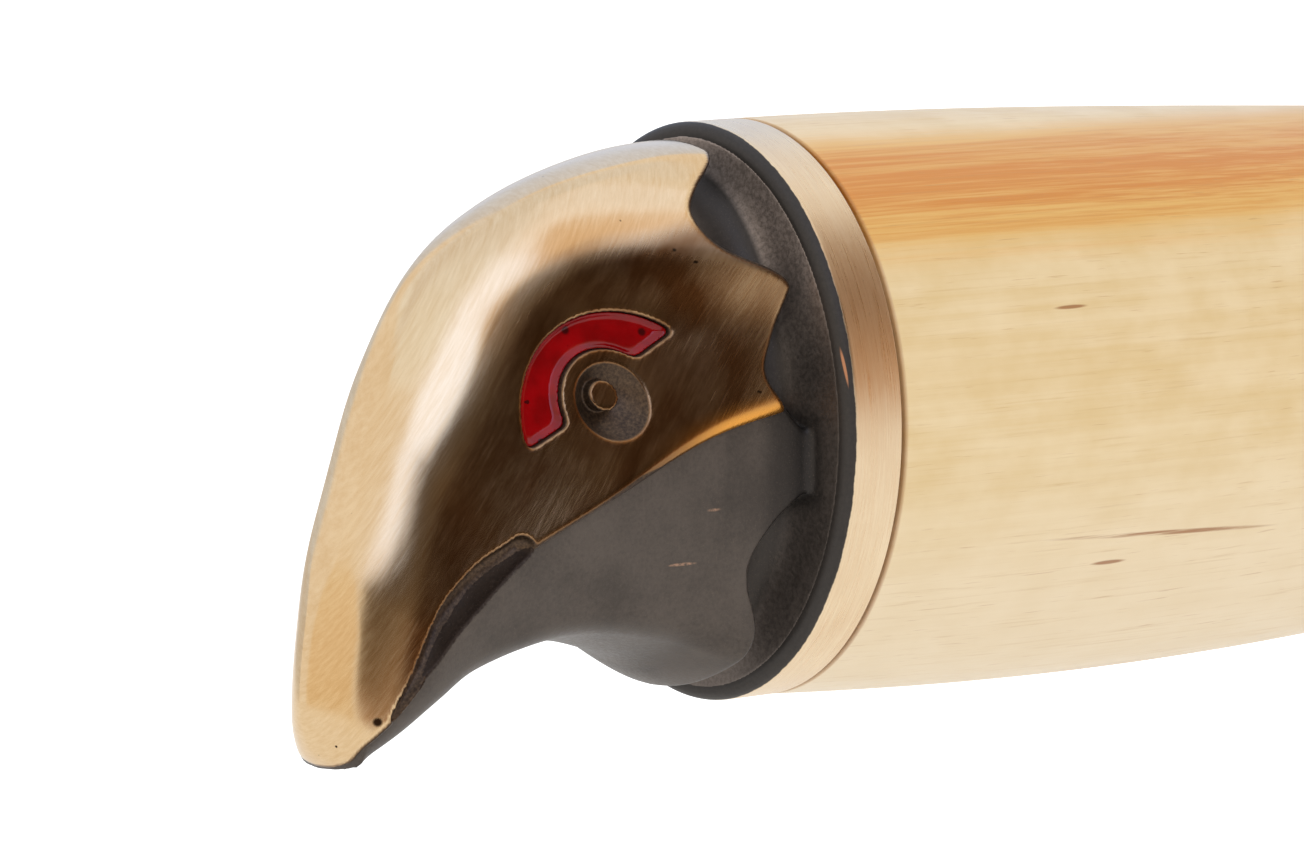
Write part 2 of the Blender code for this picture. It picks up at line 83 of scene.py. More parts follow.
class Tone:
    """A socket in a tree of nodes; sums on it add Math nodes."""

    def __init__(self, tree, socket):
        self.tree = tree
        self.socket = socket

    def node(self, kind, settings=None, sockets=None, out=0):
        """A new node: its type, its settings, and the values or links of its sockets."""
        node = self.tree.nodes.new(kind)
        for name, value in (settings or {}).items():
            setattr(node, name, value)
        for key, value in (sockets or {}).items():
            if isinstance(value, Tone):
                self.tree.links.new(value.socket, node.inputs[key])
            else:
                node.inputs[key].default_value = value
        return Tone(self.tree, node.outputs[out])

    def maths(self, operation, *others):
        """The value put through a Math node, with any other values after it."""
        return self.node("ShaderNodeMath", {"operation": operation}, dict(enumerate((self, *others))))

    def __add__(self, other):
        return self.maths("ADD", other)

    def __sub__(self, other):
        return self.maths("SUBTRACT", other)

    def __rsub__(self, other):
        return self.node("ShaderNodeMath", {"operation": "SUBTRACT"}, {0: other, 1: self})

    def __mul__(self, other):
        return self.maths("MULTIPLY", other)

    __radd__ = __add__
    __rmul__ = __mul__

    def ramp(self, low, high, start=0.0, end=1.0):
        """Eased step from start to end as the value goes from low to high."""
        sockets = {0: self, 1: low, 2: high, 3: start, 4: end}
        return self.node("ShaderNodeMapRange", {"interpolation_type": 'SMOOTHSTEP'}, sockets)

    def tint(self, low, high):
        """Colour between two colours, as the value goes from zero to one."""
        return self.node("ShaderNodeMix", {"data_type": 'RGBA'}, {0: self, 6: low, 7: high}, 2)

    def turned(self, turn=(0, 0, 0), scale=(1, 1, 1), place=(0, 0, 0)):
        """The place on the piece, scaled and then turned to lie along a pattern."""
        sockets = {"Vector": self, "Rotation": turn, "Scale": scale, "Location": place}
        return self.node("ShaderNodeMapping", {}, sockets)

    def noise(self, scale, detail=3.0, roughness=0.5):
        sockets = {"Vector": self, "Scale": scale, "Detail": detail, "Roughness": roughness}
        return self.node("ShaderNodeTexNoise", {}, sockets)

    def grain(self, scale, detail=3.0, roughness=0.5):
        """Noise with a scale of its own along each axis."""
        return self.turned(scale=scale).noise(1.0, detail, roughness)

    def length(self):
        return self.node("ShaderNodeVectorMath", {"operation": 'LENGTH'}, {0: self}, 1)

    def flecks(self, spots):
        """Soft-edged spots, each with its place, its size and its turn in the side view."""
        total = 0.0
        for at, size, turn in spots:
            spot = self.turned(place=[-value for value in at]).turned((0.0, turn, 0.0))
            spot = spot.turned(scale=[1 / value for value in size])
            total = total + spot.length().ramp(0.5, 1.0, 1.0, 0.0)
        return total

    def axis(self, name):
        return self.node("ShaderNodeSeparateXYZ", {}, {0: self}, name)

    def attribute(self, name):
        return self.node("ShaderNodeAttribute", {"attribute_name": name}, {}, "Fac")


def paint(red, green, blue):
    """Colour named by its three values out of 255."""
    tone = []
    for value in (red, green, blue):
        share = value / 255
        tone.append(share / 12.92 if share <= 0.04045 else ((share + 0.055) / 1.055) ** 2.4)
    return (*tone, 1.0)


def new_finish(name, **constants):
    """A material, and the place on the knife in millimetres from the seat of the pommel."""
    material = bpy.data.materials.new(name)
    material.use_nodes = True
    tree = material.node_tree
    shader = tree.nodes["Principled BSDF"]
    for socket, value in constants.items():
        shader.inputs[socket.replace("_", " ").title().replace("Ior", "IOR")].default_value = value
    coordinates = tree.nodes.new("ShaderNodeTexCoord")
    place = Tone(tree, coordinates.outputs["Object"])
    return material, place.turned(scale=(1 / MM,) * 3, place=-seat)


def feed(material, **tones):
    """Links tones to sockets of the material's shader, named in small letters."""
    shader = material.node_tree.nodes["Principled BSDF"]
    for socket, tone in tones.items():
        material.node_tree.links.new(tone.socket, shader.inputs[socket.replace("_", " ").title()])


def relief(height, depth):
    """Surface normal over a relief whose full height is given in millimetres."""
    sockets = {"Strength": 1.0, "Distance": depth * MM, "Height": height}
    return height.node("ShaderNodeBump", {}, sockets)


def put(name, data):
    """A new object in the scene, from its mesh, light or lens."""
    thing = bpy.data.objects.new(name, data)
    bpy.context.scene.collection.objects.link(thing)
    return thing


def settled(carrier):
    """Mesh of an object with its modifier applied. The object itself is removed."""
    evaluated = carrier.evaluated_get(bpy.context.evaluated_depsgraph_get())
    mesh = bpy.data.meshes.new_from_object(evaluated)
    bpy.data.objects.remove(carrier, do_unlink=True)
    return mesh


def smoothed(bm, mesh, sharp):
    """Mesh with the bmesh's faces, turned outward and smooth up to a sharp angle in degrees."""
    bmesh.ops.recalc_face_normals(bm, faces=bm.faces)
    bm.to_mesh(mesh)
    bm.free()
    mesh.shade_smooth()
    mesh.set_sharp_from_angle(angle=math.radians(sharp))
    return mesh


def add_piece(name, mesh, material, nodes):
    """Links a finished mesh as a piece of the knife that stands for the CAD nodes."""
    piece = put(name, mesh)
    if material.name not in mesh.materials:
        mesh.materials.append(material)
    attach(piece, "root")
    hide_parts(*nodes)


def in_frame(points):
    """Places on the knife in millimetres, put where the CAD has them in metres."""
    return (np.asarray(points, float) + np.array(seat)) * MM


def eased(value, low, high):
    """Eased step from zero to one as the value goes from low to high."""
    share = np.clip((value - low) / (high - low), 0.0, 1.0)
    return share * share * (3 - 2 * share)


def blade_half(share):
    """Half section of the blade from its spine to its edge, as rows of (y, z)."""
    starts = (spine_drop_start, belly_start, distal_start)
    dropped, swept, thin = [max(0.0, share - start) / (1 - start) for start in starts]
    spine = spine_up - tip_drop * dropped ** 2
    edge = spine_up - blade_height + (blade_height - tip_drop - point_size) * swept ** belly_curve
    opened = eased(share * blade_length, ricasso_length, 2 * ricasso_length)
    grind = ricasso_grind + (grind_height - ricasso_grind) * opened
    flat_end = min(edge + grind, spine - flat_share * (spine - edge))
    half = blade_thickness / 2 + (point_size - blade_thickness) / 2 * thin ** 2
    ease = min(spine_ease, half / 2, (spine - edge) / 6)
    bevel = min(edge_bevel, (flat_end - edge) / 3)
    waist = half * bevel / (flat_end - edge) * edge_hollow
    return [(0.0, spine),
            (half - ease, spine),
            (half - spine_bow * ease, spine - spine_bow * ease),
            (half, spine - ease),
            (half, (spine + flat_end) / 2),
            (half, flat_end),
            (half * 0.5 + waist * 0.5, (flat_end + edge + bevel) / 2),
            (waist, edge + bevel),
            (0.0, edge)]


# The grind mark is a half where the grind starts, one and a half at the edge bevel and two at the edge.
bm = bmesh.new()
grind_mark = bm.verts.layers.float.new("grind")
rows = []
for k in range(blade_stations + 1):
    share = k / blade_stations
    half = blade_half(share)
    ring = [(y, z) for y, z in half] + [(-y, z) for y, z in half[-2:0:-1]]
    row = []
    for number, (y, z) in enumerate(ring):
        place = in_frame((blade_shoulder + share * blade_length, y, z))
        vert = bm.verts.new(place)
        vert[grind_mark] = min(max(min(number, len(ring) - number) / 2 - 2.0, 0.0), 2.0)
        row.append(vert)
    rows.append(row)
for row, following in zip(rows, rows[1:]):
    for k in range(len(row)):
        after = (k + 1) % len(row)
        bm.faces.new((row[k], row[after], following[after], following[k]))
bm.faces.new(rows[0])
bm.faces.new(rows[-1])
tang = []
for x, height in ((blade_shoulder + tang_lap, tang_height), (tang_end, tang_end_height)):
    for y, z in ((1, 1), (-1, 1), (-1, -1), (1, -1)):
        tang.append(bm.verts.new(in_frame((x, y * tang_thickness / 2, z * height / 2))))
for face in ((0, 1, 2, 3), (7, 6, 5, 4), (0, 4, 5, 1), (1, 5, 6, 2), (2, 6, 7, 3), (3, 7, 4, 0)):
    bm.faces.new([tang[corner] for corner in face])
blade_mesh = smoothed(bm, bpy.data.meshes.new("blade_skin"), blade_sharp)

blade_steel, place = new_finish("satin_blade_steel", metallic=1.0)
lengthwise = place.grain((0.035, 12.0, 12.0), 5.0, 0.7)
grind_turn = (0.0, math.radians(8.0), 0.0)
crosswise = place.turned(grind_turn).grain((9.0, 1.0, 0.22), 5.0, 0.7)
grind = place.attribute("grind")
ground = grind.ramp(0.49, 0.52)
honed = grind.ramp(1.49, 1.53)
grind_line = grind.ramp(0.40, 0.50) * grind.ramp(0.50, 0.60, 1.0, 0.0)
strokes = lengthwise + ground * (crosswise - lengthwise)
satin = lengthwise.ramp(0.32, 0.68).tint(paint(138, 141, 146), paint(176, 178, 181))
bevel = crosswise.ramp(0.32, 0.68).tint(paint(182, 184, 187), paint(208, 209, 210))
steel = honed.tint(ground.tint(satin, bevel), paint(226, 227, 228))
feed(blade_steel,
     base_color=(grind_line * 0.55).tint(steel, paint(108, 110, 114)),
     roughness=strokes.ramp(0.2, 0.8, 0.24, 0.38) - ground * 0.07,
     normal=relief(strokes, 0.010))
add_piece("blade_polished", blade_mesh, blade_steel, ["blade"])


# Grip: one piece of oiled birch, shaped to the butt's oval with a slim belly and sanded smooth.
# It is bored for the tang, bedded with resin and drawn tight against the pommel's plate.
grip_rear = 0.3
grip_length = 88.0
butt_width = 23.9
grip_front_height = 25.4
grip_front_width = 18.6
grip_belly = 1.85
grip_swell = 0.49
grip_edge = 0.16
bore_height = 13.8
bore_width = 7.2
grip_stations = 170
oval_sides = 145
turned_sharp = 40.0
wood_pins = [((13.5, -11.4, 4.7), (1.5, 2.0, 0.13), 0.0), ((17.5, -9.7, -9.47), (1.6, 2.0, 0.14), 0.0)]
wood_vein = [((21.3, -10.3, -8.15), (10.5, 3.0, 0.16), -0.0376)]


def turned_oval_tree():
    """Oval bar along X with rounded ends and a bore, whose section eases from rear to front."""
    weld = 1e-7
    overlong = 3.0
    tree = bpy.data.node_groups.new("turned_oval", "GeometryNodeTree")
    tree.interface.new_socket("Geometry", in_out='OUTPUT', socket_type='NodeSocketGeometry')
    inputs = {"Float": ("Start", "Length", "Rear Height", "Rear Width", "Front Height", "Front Width",
                        "Belly", "Swell", "Rear Edge", "Front Edge", "Bore Height", "Bore Width"),
              "Int": ("Stations", "Sides"), "Material": ("Finish",)}
    for kind, names in inputs.items():
        for name in names:
            tree.interface.new_socket(name, in_out='INPUT', socket_type="NodeSocket" + kind)
    given = tree.nodes.new("NodeGroupInput")
    size = {socket.name: Tone(tree, socket) for socket in given.outputs if socket.name}
    start = size["Start"]
    grid = start.node("GeometryNodeMeshGrid", {}, {
        "Size X": 1.0, "Size Y": 1.0, "Vertices X": size["Stations"], "Vertices Y": size["Sides"]})
    spot = start.node("GeometryNodeInputPosition")
    step = spot.axis("X") + 0.5
    turn = (spot.axis("Y") + 0.5) * (2 * math.pi)
    rows = size["Stations"] - 1.0
    row = (step * rows).maths("ROUND")
    share = start.node("ShaderNodeClamp", {}, {0: (row - 1.0).maths("DIVIDE", rows - 2.0)})
    share = 0.5 - (share * math.pi).maths("COSINE") * 0.5
    ease = share * share * (3.0 - 2.0 * share)
    bulge = (share * math.pi).maths("SINE")
    rear_gap = share * size["Length"]
    front_gap = size["Length"] - rear_gap

    def rounding(gap, radius):
        """How far the skin draws in at a distance from a rounded end."""
        short = (radius - gap).maths("MAXIMUM", 0.0)
        return radius - (radius * radius - short * short).maths("SQRT")

    inset = rounding(rear_gap, size["Rear Edge"]) + rounding(front_gap, size["Front Edge"])

    def half(measure):
        """Half the height or the width, eased from the rear end to the front end."""
        rear, front = size["Rear " + measure], size["Front " + measure]
        return rear * 0.5 + (front - rear) * 0.5 * ease - inset

    across = turn.maths("COSINE")
    above = turn.maths("SINE")
    lower = above.maths("LESS_THAN", 0.0)
    rise = half("Height") + lower * size["Belly"] * bulge
    side = half("Width") + size["Swell"] * bulge
    inner = row.maths("GREATER_THAN", 0.5) * row.maths("LESS_THAN", rows - 0.5)
    skin_place = start.node("ShaderNodeCombineXYZ", {}, {
        0: start + rear_gap,
        1: side * across * inner,
        2: rise * above * inner})
    laid = start.node("GeometryNodeSetPosition", {}, {"Geometry": grid, "Position": skin_place})
    closed = start.node("GeometryNodeMergeByDistance", {}, {"Geometry": laid, "Distance": weld})
    bore_size = start.node("ShaderNodeCombineXYZ", {}, {
        0: size["Length"] * overlong,
        1: size["Bore Width"],
        2: size["Bore Height"]})
    bore = start.node("GeometryNodeMeshCube", {}, {"Size": bore_size})
    middle = start.node("ShaderNodeCombineXYZ", {}, {0: start + size["Length"] * 0.5})
    bore = start.node("GeometryNodeTransform", {}, {"Geometry": bore, "Translation": middle})
    drilled = start.node("GeometryNodeMeshBoolean", {"operation": 'DIFFERENCE', "solver": 'EXACT'},
                         {"Mesh 1": closed, "Mesh 2": bore})
    real = start.node("GeometryNodeRealizeInstances", {}, {"Geometry": drilled})
    finished = start.node("GeometryNodeSetMaterial", {}, {"Geometry": real, "Material": size["Finish"]})
    result = tree.nodes.new("NodeGroupOutput")
    tree.links.new(finished.socket, result.inputs[0])
    return tree


turned_oval = turned_oval_tree()


def turned_piece(name, finish, stations, sides, **sizes):
    """Plain mesh of a turned oval piece; lengths are given in millimetres from the seat."""
    carrier = put(name, bpy.data.meshes.new(name))
    turned = carrier.modifiers.new(name, 'NODES')
    turned.node_group = turned_oval
    given = {"stations": stations, "sides": sides, "finish": finish, "belly": 0.0, "swell": 0.0}
    given.update({key: value * MM for key, value in sizes.items()})
    for item in turned_oval.interface.items_tree:
        if item.in_out == 'INPUT':
            turned[item.identifier] = given[item.name.lower().replace(" ", "_")]
    mesh = settled(carrier)
    mesh.transform(Matrix.Translation(seat * MM))
    bm = bmesh.new()
    bm.from_mesh(mesh)
    return smoothed(bm, mesh, turned_sharp)


birch, place = new_finish("oiled_birch", specular_ior_level=0.35, coat_weight=0.25, coat_roughness=0.22)
wave = place.grain((0.03, 0.10, 0.10), 2.0)
rings = place.grain((0.012, 0.35, 1.3), 5.0, 0.65)
fibre = place.grain((0.10, 5.0, 5.0), 4.0, 0.6)
vessel = place.grain((0.28, 9.0, 9.0), 2.0, 0.5)
curl = place.grain((0.22, 0.35, 0.35), 3.0, 0.55)
level = place.axis("Z") + (wave - 0.5) * 1.6 + (fibre - 0.5) * 0.9
streak = (level + (rings - 0.5) * 2.4).ramp(6.8, 9.8) * level.ramp(13.4, 14.5, 1.0, 0.0)
core = level.ramp(8.8, 11.2) * level.ramp(12.4, 14.2, 1.0, 0.0)
core = core * 0.75 + (rings * 0.65 + fibre * 0.35).ramp(0.36, 0.64, -0.40, 0.36)
pale = (rings * 0.45 + curl * 0.55).ramp(0.3, 0.7).tint(paint(233, 200, 143), paint(246, 219, 174))
# Paler towards the bottom of the grip.
paler_below = level.ramp(-12.0, -2.0, 0.55, 0.0)
pale = paler_below.tint(pale, paint(254, 234, 204))
underside = level.ramp(-16.8, -15.6, 1.0, 0.0) * rings.ramp(0.45, 0.6) * place.axis("X").ramp(14.0, 26.0)
pale = (underside * 0.7).tint(pale, paint(206, 150, 84))
heart = core.ramp(0.0, 1.0).tint(paint(235, 182, 98), paint(219, 134, 32))
wood = (streak * 0.95).tint(pale, heart)
wood = place.axis("X").ramp(0.32, 0.50, 0.5, 0.0).tint(wood, paint(164, 100, 46))
wood = (fibre.ramp(0.55, 0.75) * 0.28).tint(wood, paint(206, 164, 106))
wood = (vessel.ramp(0.66, 0.77) * 0.35).tint(wood, paint(190, 132, 74))
dark_mark = place.flecks(wood_pins) + place.flecks(wood_vein) * fibre.ramp(0.35, 0.6)
wood = (dark_mark * 0.8).tint(wood, paint(160, 96, 44))
feed(birch, base_color=wood, roughness=fibre.ramp(0.3, 0.7, 0.36, 0.50),
     normal=relief(fibre * 0.6 + vessel * 0.4, 0.02))
grip_mesh = turned_piece("grip_shaped", birch, grip_stations, oval_sides, start=grip_rear, length=grip_length,
                         rear_height=butt_height, rear_width=butt_width,
                         front_height=grip_front_height, front_width=grip_front_width,
                         belly=grip_belly, swell=grip_swell, rear_edge=grip_edge, front_edge=grip_edge,
                         bore_height=bore_height, bore_width=bore_width)
add_piece("grip_shaped", grip_mesh, birch, ["grip"])


# Beddings: hard brown resin poured round the tang in the grip's bore and in the pommel's socket.
# They set in place and lock the blade into the handle. The CAD's own solids show here.
bedding_resin, place = new_finish("cast_bedding_resin")
grainy = place.noise(2.5, 4.0)
feed(bedding_resin, base_color=grainy.tint(paint(92, 66, 40), paint(140, 104, 66)),
     roughness=grainy.ramp(0.2, 0.8, 0.45, 0.65), normal=relief(grainy, 0.05))
for node in ("grip_bedding", "pommel_bedding"):
    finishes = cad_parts[node].data.materials
    finishes.clear()
    finishes.append(bedding_resin)


# Front ferrule: bronze cap pressed over the grip's front and slotted for the tang.
# Its nose is rounded and the whole cap is finely brushed round its girth.
ferrule_start = 88.34
ferrule_length = 10.26
ferrule_nose_height = 24.0
ferrule_nose_width = 16.0
ferrule_edge = 1.2
slot_height = 10.6
slot_width = 4.0
ferrule_stations = 90
ferrule_bronze, place = new_finish("brushed_ferrule_bronze", metallic=1.0)
girth = place.grain((9.0, 0.2, 0.2), 5.0, 0.7)
cloud = place.grain((0.3, 0.12, 0.12), 4.0)
along = place.axis("X")
bronze = (girth * 0.7 + cloud * 0.3).ramp(0.34, 0.66).tint(paint(168, 124, 76), paint(222, 180, 124))
worn_nose = along.ramp(ferrule_start + 8.6, ferrule_start + 9.6)
bronze = (worn_nose * girth.ramp(0.3, 0.6) * 0.6).tint(bronze, paint(240, 208, 160))
joint_shade = along.ramp(ferrule_start + 0.1, ferrule_start + 1.1, 0.75, 0.0)
bronze = joint_shade.tint(bronze, paint(104, 74, 44))
feed(ferrule_bronze, base_color=bronze, roughness=girth.ramp(0.25, 0.75, 0.22, 0.36),
     normal=relief(girth, 0.012))
ferrule_mesh = turned_piece("ferrule_brushed", ferrule_bronze, ferrule_stations, oval_sides,
                            start=ferrule_start, length=ferrule_length, rear_height=grip_front_height,
                            rear_width=grip_front_width, front_height=ferrule_nose_height,
                            front_width=ferrule_nose_width, rear_edge=grip_edge, front_edge=ferrule_edge,
                            bore_height=slot_height, bore_width=slot_width)
add_piece("ferrule_brushed", ferrule_mesh, ferrule_bronze, ["front_ferrule"])


# Pommel hood: the crown, cheeks and beak of a bird's head, on the one bronze casting that is the pommel.
# The casting is blackened, then the hood is ground and polished bright, which leaves its recesses dark.
# Fans are stretches of degrees round a pole below the head, 80 at the nape and 160 at the beak's tip.
plate_thickness = 3.9
plate_face = -plate_thickness
crown_points = [(-14.9, 14.9), (-0.9, 14.7), (6.1, 14.15), (13.1, 12.3), (18.9, 9.05), (22.6, 4.0),
                (25.1, -2.0), (27.4, -8.0), (28.3, -13.0), (27.7, -15.3), (26.6, -16.5)]
mouth_points = [(-7.4, 2.0), (1.1, 0.3), (6.1, -0.9), (11.1, -2.9), (16.6, -5.5), (19.3, -7.2),
                (21.5, -9.6), (23.2, -12.0), (24.6, -13.7), (25.65, -14.75), (26.3, -15.45), (26.6, -16.5)]
keel_points = [(-8.9, -17.0), (1.8, -14.8), (6.6, -12.4), (12.3, -11.15), (18.0, -12.1),
               (20.9, -13.6), (23.7, -15.2), (26.6, -16.5)]
rear_points = [(1.1, 17.0), (1.1, 14.4), (1.8, 13.5), (3.9, 12.1), (4.9, 10.8), (4.1, 9.2), (1.5, 7.8),
               (0.7, 7.0), (0.9, 6.2), (1.9, 4.1), (2.4, 2.3), (1.2, 0.3), (-0.7, -2.0), (-0.2, -3.5),
               (1.8, -5.3), (3.1, -7.2), (3.2, -8.7), (2.6, -10.8), (2.7, -13.0), (2.6, -17.5)]
pole_x = plate_face - 6.1
pole_z = -24.0
fan_span = (0.9, 3.1)
fan_steps = 2200
fan_ease = 15
fan_ease_reach = 2.5
tip_fall = 40.0
jaw_least = 0.05
eye_x = plate_face - 11.4
eye_z = 1.5
eye_radius = 2.02
eye_depth = 0.85
pupil_radius = 0.8
pupil_ahead = 0.38
pupil_up = 0.36
cheek_half = 6.1
cheek_taper = 0.283
cheek_least = 0.3
cheek_lean = 0.30
lean_reach = 11.0
mouth_edge_least = 0.2
brow_overhang = 0.5
overhang_rise = (4.5, 9.5)
overhang_fan = (112.0, 100.0)
beak_swell = 0.4
swell_fan = (125.0, 140.0)
nape_fan = (110.0, 80.0)
temple_angle = 115.0
temple_spread = 9.0
side_round = 3.9
nape_round = 2.8
nape_round_fan = (100.0, 78.0)
temple_round = 1.8
side_inset = 1.3
nape_inset = 0.66
temple_inset = 0.5
inset_limit = 1.4
side_slope = 1.08
crown_arch = 0.125
nape_flat = 0.075
nape_flat_fan = (106.0, 84.0)
beak_flat = 0.025
beak_flat_fan = (120.0, 134.0)
ridge_ease = 0.18
tip_ease = 0.9
tip_ease_fan = (134.0, 146.0)
brow_outer = (-0.69, -1.25, 5.88)
brow_inner = (-0.05, -0.1, 2.84)
brow_rear = (-1.83, 2.06)
brow_rear_facing = (-0.480, -0.877)
brow_front = (2.69, -1.02)
brow_front_facing = (-0.44, -0.90)
brow_middle = 1.0
brow_corner = 0.5
recess_depth = 1.2
recess_edge = 0.07
groove_points = [(17.7, -5.6), (19.4, -6.9), (21.0, -8.3), (22.4, -9.85), (23.6, -11.55), (24.55, -13.0),
                 (25.0, -13.85)]
groove_start = 0.62
groove_middle = 0.95
groove_tip = 0.2
groove_widens = (17.7, 20.5)
groove_narrows = (21.8, 24.7)
groove_flat = 0.75
hood_edge = 0.4
rolled_edge = 1.0
rolled_drop = 0.2
rolled_fan = (112.0, 84.0)
hood_pits = [((-10.49, -5.6, 9.11), (0.16, 1.0, 0.14), 0.0), ((-9.5, -6.2, 8.43), (0.2, 1.0, 0.12), 0.0),
             ((-29.7, -2.9, -13.96), (0.28, 1.2, 0.3), 0.0)]
head_low = (-33.2, 0.0, -17.6)
hood_high = (-3.0, 11.0, 15.6)
hood_pitch = 0.12
casting_triangles = 190000


def drawn_line(points, steps=16):
    """Curve through (forward of the plate, up) points, as places (x, z) on the knife."""
    stops = np.array(points, float)
    stops = np.vstack([2 * stops[0] - stops[1], stops, 2 * stops[-1] - stops[-2]])
    t = np.linspace(0, 1, steps, endpoint=False)[:, None]
    line = []
    for before, start, end, after in zip(stops, stops[1:], stops[2:], stops[3:]):
        bend = 2 * before - 5 * start + 4 * end - after
        twist = 3 * start - before - 3 * end + after
        line.append(0.5 * (2 * start + (end - before) * t + bend * t ** 2 + twist * t ** 3))
    line = np.vstack(line + [stops[-2:-1]])
    return np.column_stack([plate_face - line[:, 0], line[:, 1]])


def common(a, b, blend):
    """What two solids share, with the edge between them rounded."""
    near = np.maximum(blend - np.abs(a - b), 0.0) / blend
    return np.maximum(a, b) + near * near * blend / 4


def joined(a, b, blend):
    """Union of two solids with a hollow fillet between them."""
    return -common(-a, -b, blend)


def line_gap(line, x, z):
    """Distance in the side view from places (x, z) to a drawn line."""
    best = np.full(x.shape, np.inf)
    for (ax, az), (bx, bz) in zip(line[:-1], line[1:]):
        long = (bx - ax) ** 2 + (bz - az) ** 2
        share = np.clip(((x - ax) * (bx - ax) + (z - az) * (bz - az)) / long, 0.0, 1.0)
        gap = (x - ax - share * (bx - ax)) ** 2 + (z - az - share * (bz - az)) ** 2
        best = np.minimum(best, gap)
    return np.sqrt(best)


fan_angles = np.linspace(*fan_span, fan_steps)


def fan_radius(points):
    """Distance from the pole to a drawn line for each angle of the fan, eased between points."""
    line = drawn_line(points)
    angle = np.arctan2(line[:, 1] - pole_z, line[:, 0] - pole_x)
    radius = np.hypot(line[:, 1] - pole_z, line[:, 0] - pole_x)
    even = np.interp(fan_angles, angle, radius)
    kernel = np.exp(-np.linspace(-fan_ease_reach, fan_ease_reach, 2 * fan_ease + 1) ** 2 / 2)
    padded = np.concatenate([np.full(fan_ease, even[0]), even, np.full(fan_ease, even[-1])])
    return np.convolve(padded, kernel / kernel.sum(), 'valid'), angle[-1]


crown_radius, beak_angle = fan_radius(crown_points)
mouth_radius = fan_radius(mouth_points)[0]
keel_radius = fan_radius(keel_points)[0]


def cheek_at(x, z):
    """Half width of the head's leaning cheeks at places (x, z)."""
    lean = cheek_lean * np.exp(-((x - eye_x) / lean_reach) ** 2)
    return cheek_half + cheek_taper * (x - eye_x) - lean * (z - eye_z)


def spread(flat):
    """Values of the side view, made ready for sums with places across the knife."""
    return flat[:, None, :]


class HeadView:
    """Side view of the head on a grid: the depths and widths that its solids are drawn from."""

    def __init__(self, low, high, pitch):
        self.x, self.y, self.z = [np.arange(low[k], high[k] + pitch, pitch) for k in range(3)]
        self.mirror_low = np.array((self.x[0], -self.y[-1], self.z[0]))
        x, z = np.meshgrid(self.x, self.z, indexing='ij')
        angle = np.arctan2(z - pole_z, x - pole_x)
        radius = np.hypot(z - pole_z, x - pole_x)
        past_tip = np.maximum(angle - beak_angle, 0.0) * tip_fall
        self.depth = np.interp(angle, fan_angles, crown_radius) - radius - past_tip
        mouth = np.interp(angle, fan_angles, mouth_radius)
        keel = np.interp(angle, fan_angles, keel_radius)
        self.below_mouth = line_gap(drawn_line(mouth_points), x, z) * np.sign(mouth - radius)
        self.jaw_height = np.maximum(mouth - keel, jaw_least)
        self.jaw_share = (mouth - radius) / self.jaw_height
        rear = drawn_line(rear_points)
        rear_x = np.interp(-z, -rear[:, 1], rear[:, 0])
        self.behind = line_gap(rear, x, z) * np.sign(x - rear_x)
        mouth_edge = cheek_at(pole_x + mouth * np.cos(angle), pole_z + mouth * np.sin(angle))
        self.mouth_edge = np.maximum(mouth_edge, mouth_edge_least)
        degrees = np.degrees(angle)
        nape = eased(degrees, *nape_fan)
        overhang = brow_overhang * eased(z, *overhang_rise) * eased(degrees, *overhang_fan)
        cheek = cheek_at(x, z) + beak_swell * eased(degrees, *swell_fan) + overhang
        self.width = np.maximum(cheek, cheek_least)
        temple = np.exp(-((degrees - temple_angle) / temple_spread) ** 2)
        self.round_depth = side_round + nape_round * eased(degrees, *nape_round_fan) + temple_round * temple
        self.inset = side_inset * (1 - nape) + nape_inset * nape * self.width + temple_inset * temple
        nape_arch = crown_arch - nape_flat * eased(degrees, *nape_flat_fan)
        self.arch = nape_arch - beak_flat * eased(degrees, *beak_flat_fan)
        self.ridge_ease = ridge_ease + tip_ease * eased(degrees, *tip_ease_fan)
        self.ahead = eye_x - x
        self.up = z - eye_z
        self.degrees = degrees

    def skin(self):
        """Outer form of the hood: an arched crown that meets leaning temples and flat cheeks."""
        y = self.y[None, :, None]
        depth = spread(self.depth)
        arch = spread(self.arch)
        crown = (arch * y * y - depth) / np.sqrt(1 + (2 * arch * y) ** 2)
        short = np.maximum(1 - self.depth / self.round_depth, 0.0)
        width = self.width - self.inset * np.minimum(short, inset_limit) ** 2
        slope = np.hypot(side_slope, 2 * self.inset * short / self.round_depth)
        side = (y - spread(width)) / spread(slope)
        return common(crown, side, spread(self.ridge_ease))

    def brow(self):
        """Outline of the brow's recess in the side view, negative inside."""
        outer = self.from_spot(*brow_outer[:2]) - brow_outer[2]
        inner = brow_inner[2] - self.from_spot(*brow_inner[:2])
        rear_end = self.past_line(brow_rear, brow_rear_facing)
        front_end = self.past_line(brow_front, brow_front_facing)
        ends = np.where(self.ahead < brow_middle, rear_end, front_end)
        return common(common(outer, inner, brow_corner), ends, brow_corner)

    def from_spot(self, ahead, up):
        """Distance in the side view from a place ahead of the eye and above it."""
        return np.hypot(self.ahead - ahead, self.up - up)

    def past_line(self, spot, facing):
        """How far places lie past a straight line through a place, on the side that it faces."""
        return facing[0] * (self.ahead - spot[0]) + facing[1] * (self.up - spot[1])

    def groove(self, skin):
        """Round-bottomed groove that follows the mouth, negative inside."""
        line = drawn_line(groove_points)
        x, z = np.meshgrid(self.x, self.z, indexing='ij')
        gap = line_gap(line, x, z)
        ahead = plate_face - x
        width = groove_start + (groove_middle - groove_start) * eased(ahead, *groove_widens)
        width = width + (groove_tip - groove_middle) * eased(ahead, *groove_narrows)
        return np.sqrt(spread(gap) ** 2 + (skin * groove_flat) ** 2) - spread(width)


